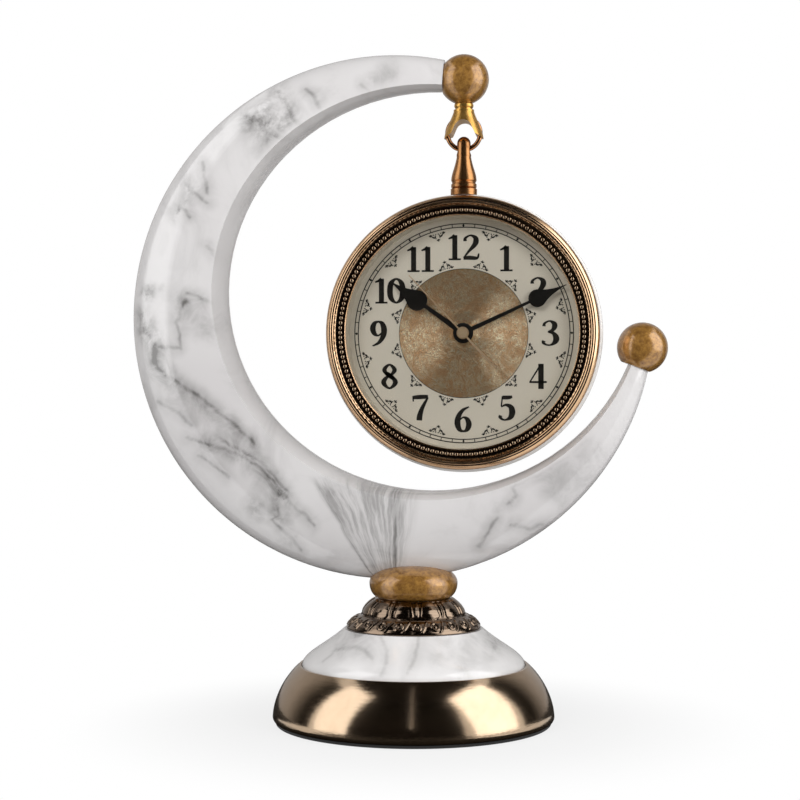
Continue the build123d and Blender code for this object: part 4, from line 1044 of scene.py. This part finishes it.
def sprigAt(sheet, angle, spec):
    base, tall, half = spec["base"], spec["tall"], spec["half"]

    def place(x, y):
        return around(angle, base + y * tall, x * half)

    for x, y in sprig["corners"]:
        cornerX, cornerY = place(x, y)
        for dx, dy, size in sprig["bud"]:
            px, py = around(angle, dy * math.copysign(1.0, tall), dx)
            sheet.disc(cornerX + px, cornerY + py, size, 10)
    for side in (-1, 1):
        sheet.stroke([(side * x, y, wide) for x, y, wide in sprig["curl"]], place, False, 4)
        for x, y, size in sprig["dots"]:
            sheet.disc(*place(side * x, y), size, 8)


sprigs = Print(dialMarks["lift"])
for hour in range(12):
    for spec in ("outer", "inner"):
        sprigAt(sprigs, math.radians(30 * hour + 15), sprig[spec])
sprigs.make("dial_sprigs", ink)

# beaded row: round beads in a ring, in the place of the plain row
beadLow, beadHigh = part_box("bead_row")
beadSpec = {"count": 156, "radius": 62.2, "size": 1.1, "stretch": (1.08, 0.9, 1.0)}
beadMetal = polished("beadBronze", (0.42, 0.31, 0.21), (0.24, 0.16, 0.10), rough=0.05)
beadY = 0.5 * (beadLow.y + beadHigh.y)
beadMesh = bmesh.new()
for i in range(beadSpec["count"]):
    angle = 2 * math.pi * i / beadSpec["count"]
    x, y = around(angle, beadSpec["radius"] * mm)
    where = Matrix.Translation((clockCentre.x + x, beadY, clockCentre.z + y))
    where = where @ Matrix.Rotation(-angle, 4, "Y") @ Matrix.Diagonal((*beadSpec["stretch"], 1.0))
    bmesh.ops.create_icosphere(beadMesh, subdivisions=2, radius=beadSpec["size"] * mm, matrix=where)
beadData = bpy.data.meshes.new("bead_spheres")
beadMesh.to_mesh(beadData)
beadMesh.free()
beadRow = objectOf("bead_spheres", beadData, beadMetal, True)
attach(beadRow, "clock")
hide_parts("bead_row")
print("dial marks and beads made")

# leaf collar, cast in relief: tongues round the cup, a running scroll round the foot
collar = {
    "leaves": 12,
    "scrolls": 22,
    "first": -5.0,  # degrees from the front to a tongue's middle
    "rows": 84,
    "turns": 792,
    "plain": 0.14,  # share of the climb before the scrolls start
    "waist": 0.46,  # where they end
    "gap": 0.03,  # from there to the tongues
    "depth": 0.9,
    "widest": 34.8,
    "tongue": {
        "foot": 0.34,
        "half": 0.36,
        "taper": 0.15,
        "crown": (0.85, 0.35),  # its height, and the fall towards its edge
        "rim": (1.06, 0.16),  # where it ends, and how soft its edge is
        "sunk": 0.55,
    },
    "dart": {"half": 0.045, "height": 0.55, "rise": (0.1, 0.3)},  # between two tongues
    "scroll": {  # mm
        "radius": 32.0,
        "tall": 8.0,
        "eye": -1.2,
        "curl": (1.9, 0.5, 0.6),  # its radius, half width and height
        "pip": (0.6, 0.55),
        "leaf": (2.6, 0.5, 0.55, 0.55),  # its place, slant, half width and height
        "edge": 0.14,
        "sunk": 0.1,
    },
    "profile": [  # radius, height in mm from the base's foot
        (34.2, 49.0), (34.8, 49.4), (34.7, 50.4), (33.9, 51.8), (32.4, 53.4),
        (30.4, 54.8), (28.2, 55.8), (26.9, 56.5), (26.8, 57.6), (26.3, 59.0),
        (25.2, 60.7), (23.6, 62.3), (21.8, 63.7), (20.0, 64.6),
    ],
}
collarMetal = Finish("collarBronze", "collar_bronze")
speckle = collarMetal.noise(500.0, 3.0, 0.6)
# base colour near black in the crevices, found by Pointiness: painted shade
paintedCreviceShade = collarMetal.node("ShaderNodeNewGeometry", out="Pointiness").ramp(0.44, 0.53)
collarMetal.surface(
    {
        "Base Color": collarMetal.mix(paintedCreviceShade, (0.018, 0.013, 0.010), (0.27, 0.20, 0.145)),
        "Metallic": 1.0,
        "Roughness": 0.09 + speckle * 0.06,
        "Normal": collarMetal.bump(speckle, 0.05, 0.0002),
    }
)


def eased(value):
    value = min(max(value, 0.0), 1.0)
    return value * value * (3 - 2 * value)


def bell(gap, half):
    return math.exp(-((gap / half) ** 2))


def tongue(phase, up):
    shape, dart = collar["tongue"], collar["dart"]
    foot = shape["foot"]
    half = shape["half"] - shape["taper"] * max(0.0, up - foot)
    if up < foot:
        half *= math.sqrt(max(1e-4, 1 - ((foot - up) / foot) ** 2))
    edge = abs(phase) / half
    full, fall = shape["crown"]
    end, soft = shape["rim"]
    start, rise = dart["rise"]
    body = eased((end - edge) / soft) * (full - fall * min(edge, 1.0) ** 2)
    point = bell(abs(phase) - 0.5, dart["half"]) * eased((up - start) / rise) * dart["height"]
    return body + point - shape["sunk"]


def scroll(phase, along):
    shape = collar["scroll"]
    x = phase * 2 * math.pi * shape["radius"] / collar["scrolls"]
    y = (along - 0.5) * shape["tall"]
    gap = math.hypot(x - shape["eye"], y)
    radius, half, height = shape["curl"]
    pipHalf, pipHeight = shape["pip"]
    curl = bell(gap - radius, half) * height + bell(gap, pipHalf) * pipHeight
    place, slant, half, height = shape["leaf"]
    leaf = bell(x - place - slant * y, half) * height
    ends = eased(along / shape["edge"]) * eased((1 - along) / shape["edge"])
    return max(curl, leaf) * ends - shape["sunk"]


# from -0.5 to 0.5 across each of the repeats round the collar
def phaseOf(turnShare, repeats):
    return (turnShare * repeats + 0.5) % 1.0 - 0.5


def collarRelief(turnShare, climb):
    turnShare -= collar["first"] / 360.0
    plain, waist, gap = collar["plain"], collar["waist"], collar["gap"]
    if climb > waist + gap:
        up = (climb - waist - gap) / (1 - waist - gap)
        return tongue(phaseOf(turnShare, collar["leaves"]), up)
    if plain < climb < waist:
        along = (climb - plain) / (waist - plain)
        return scroll(phaseOf(turnShare, collar["scrolls"]), along)
    return 0.0


def collarPoint(climb):
    spots = collar["profile"]
    reach = climb * (len(spots) - 1)
    index = min(int(reach), len(spots) - 2)
    t = reach - index
    (ra, za), (rb, zb) = spots[index], spots[index + 1]
    return ra + (rb - ra) * t, za + (zb - za) * t, (rb - ra, zb - za)


collarVerts, collarFaces = [], []
turns, rows = collar["turns"], collar["rows"]
for row in range(rows + 1):
    climb = row / rows
    radius, height, run = collarPoint(climb)
    size = math.hypot(*run) or 1.0
    outward = (run[1] / size, -run[0] / size)
    for step in range(turns):
        share = step / turns
        lift = collar["depth"] * collarRelief(share, climb) if 0 < row < rows else 0.0
        r = min(radius + outward[0] * lift, collar["widest"])
        x, y = around(2 * math.pi * share, r * mm)
        collarVerts.append((x, -y, (height + outward[1] * lift) * mm))
for row in range(rows):
    for step in range(turns):
        a = row * turns + step
        b = row * turns + (step + 1) % turns
        collarFaces.append((a, b, b + turns, a + turns))
for level in (0, rows):
    ring = list(range(level * turns, (level + 1) * turns))
    collarFaces.append(ring if level else ring[::-1])
collarPiece = addPiece("leaf_relief", collarVerts, collarFaces, collarMetal, "stand", True)
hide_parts("leaf_collar")
print("collar cast")
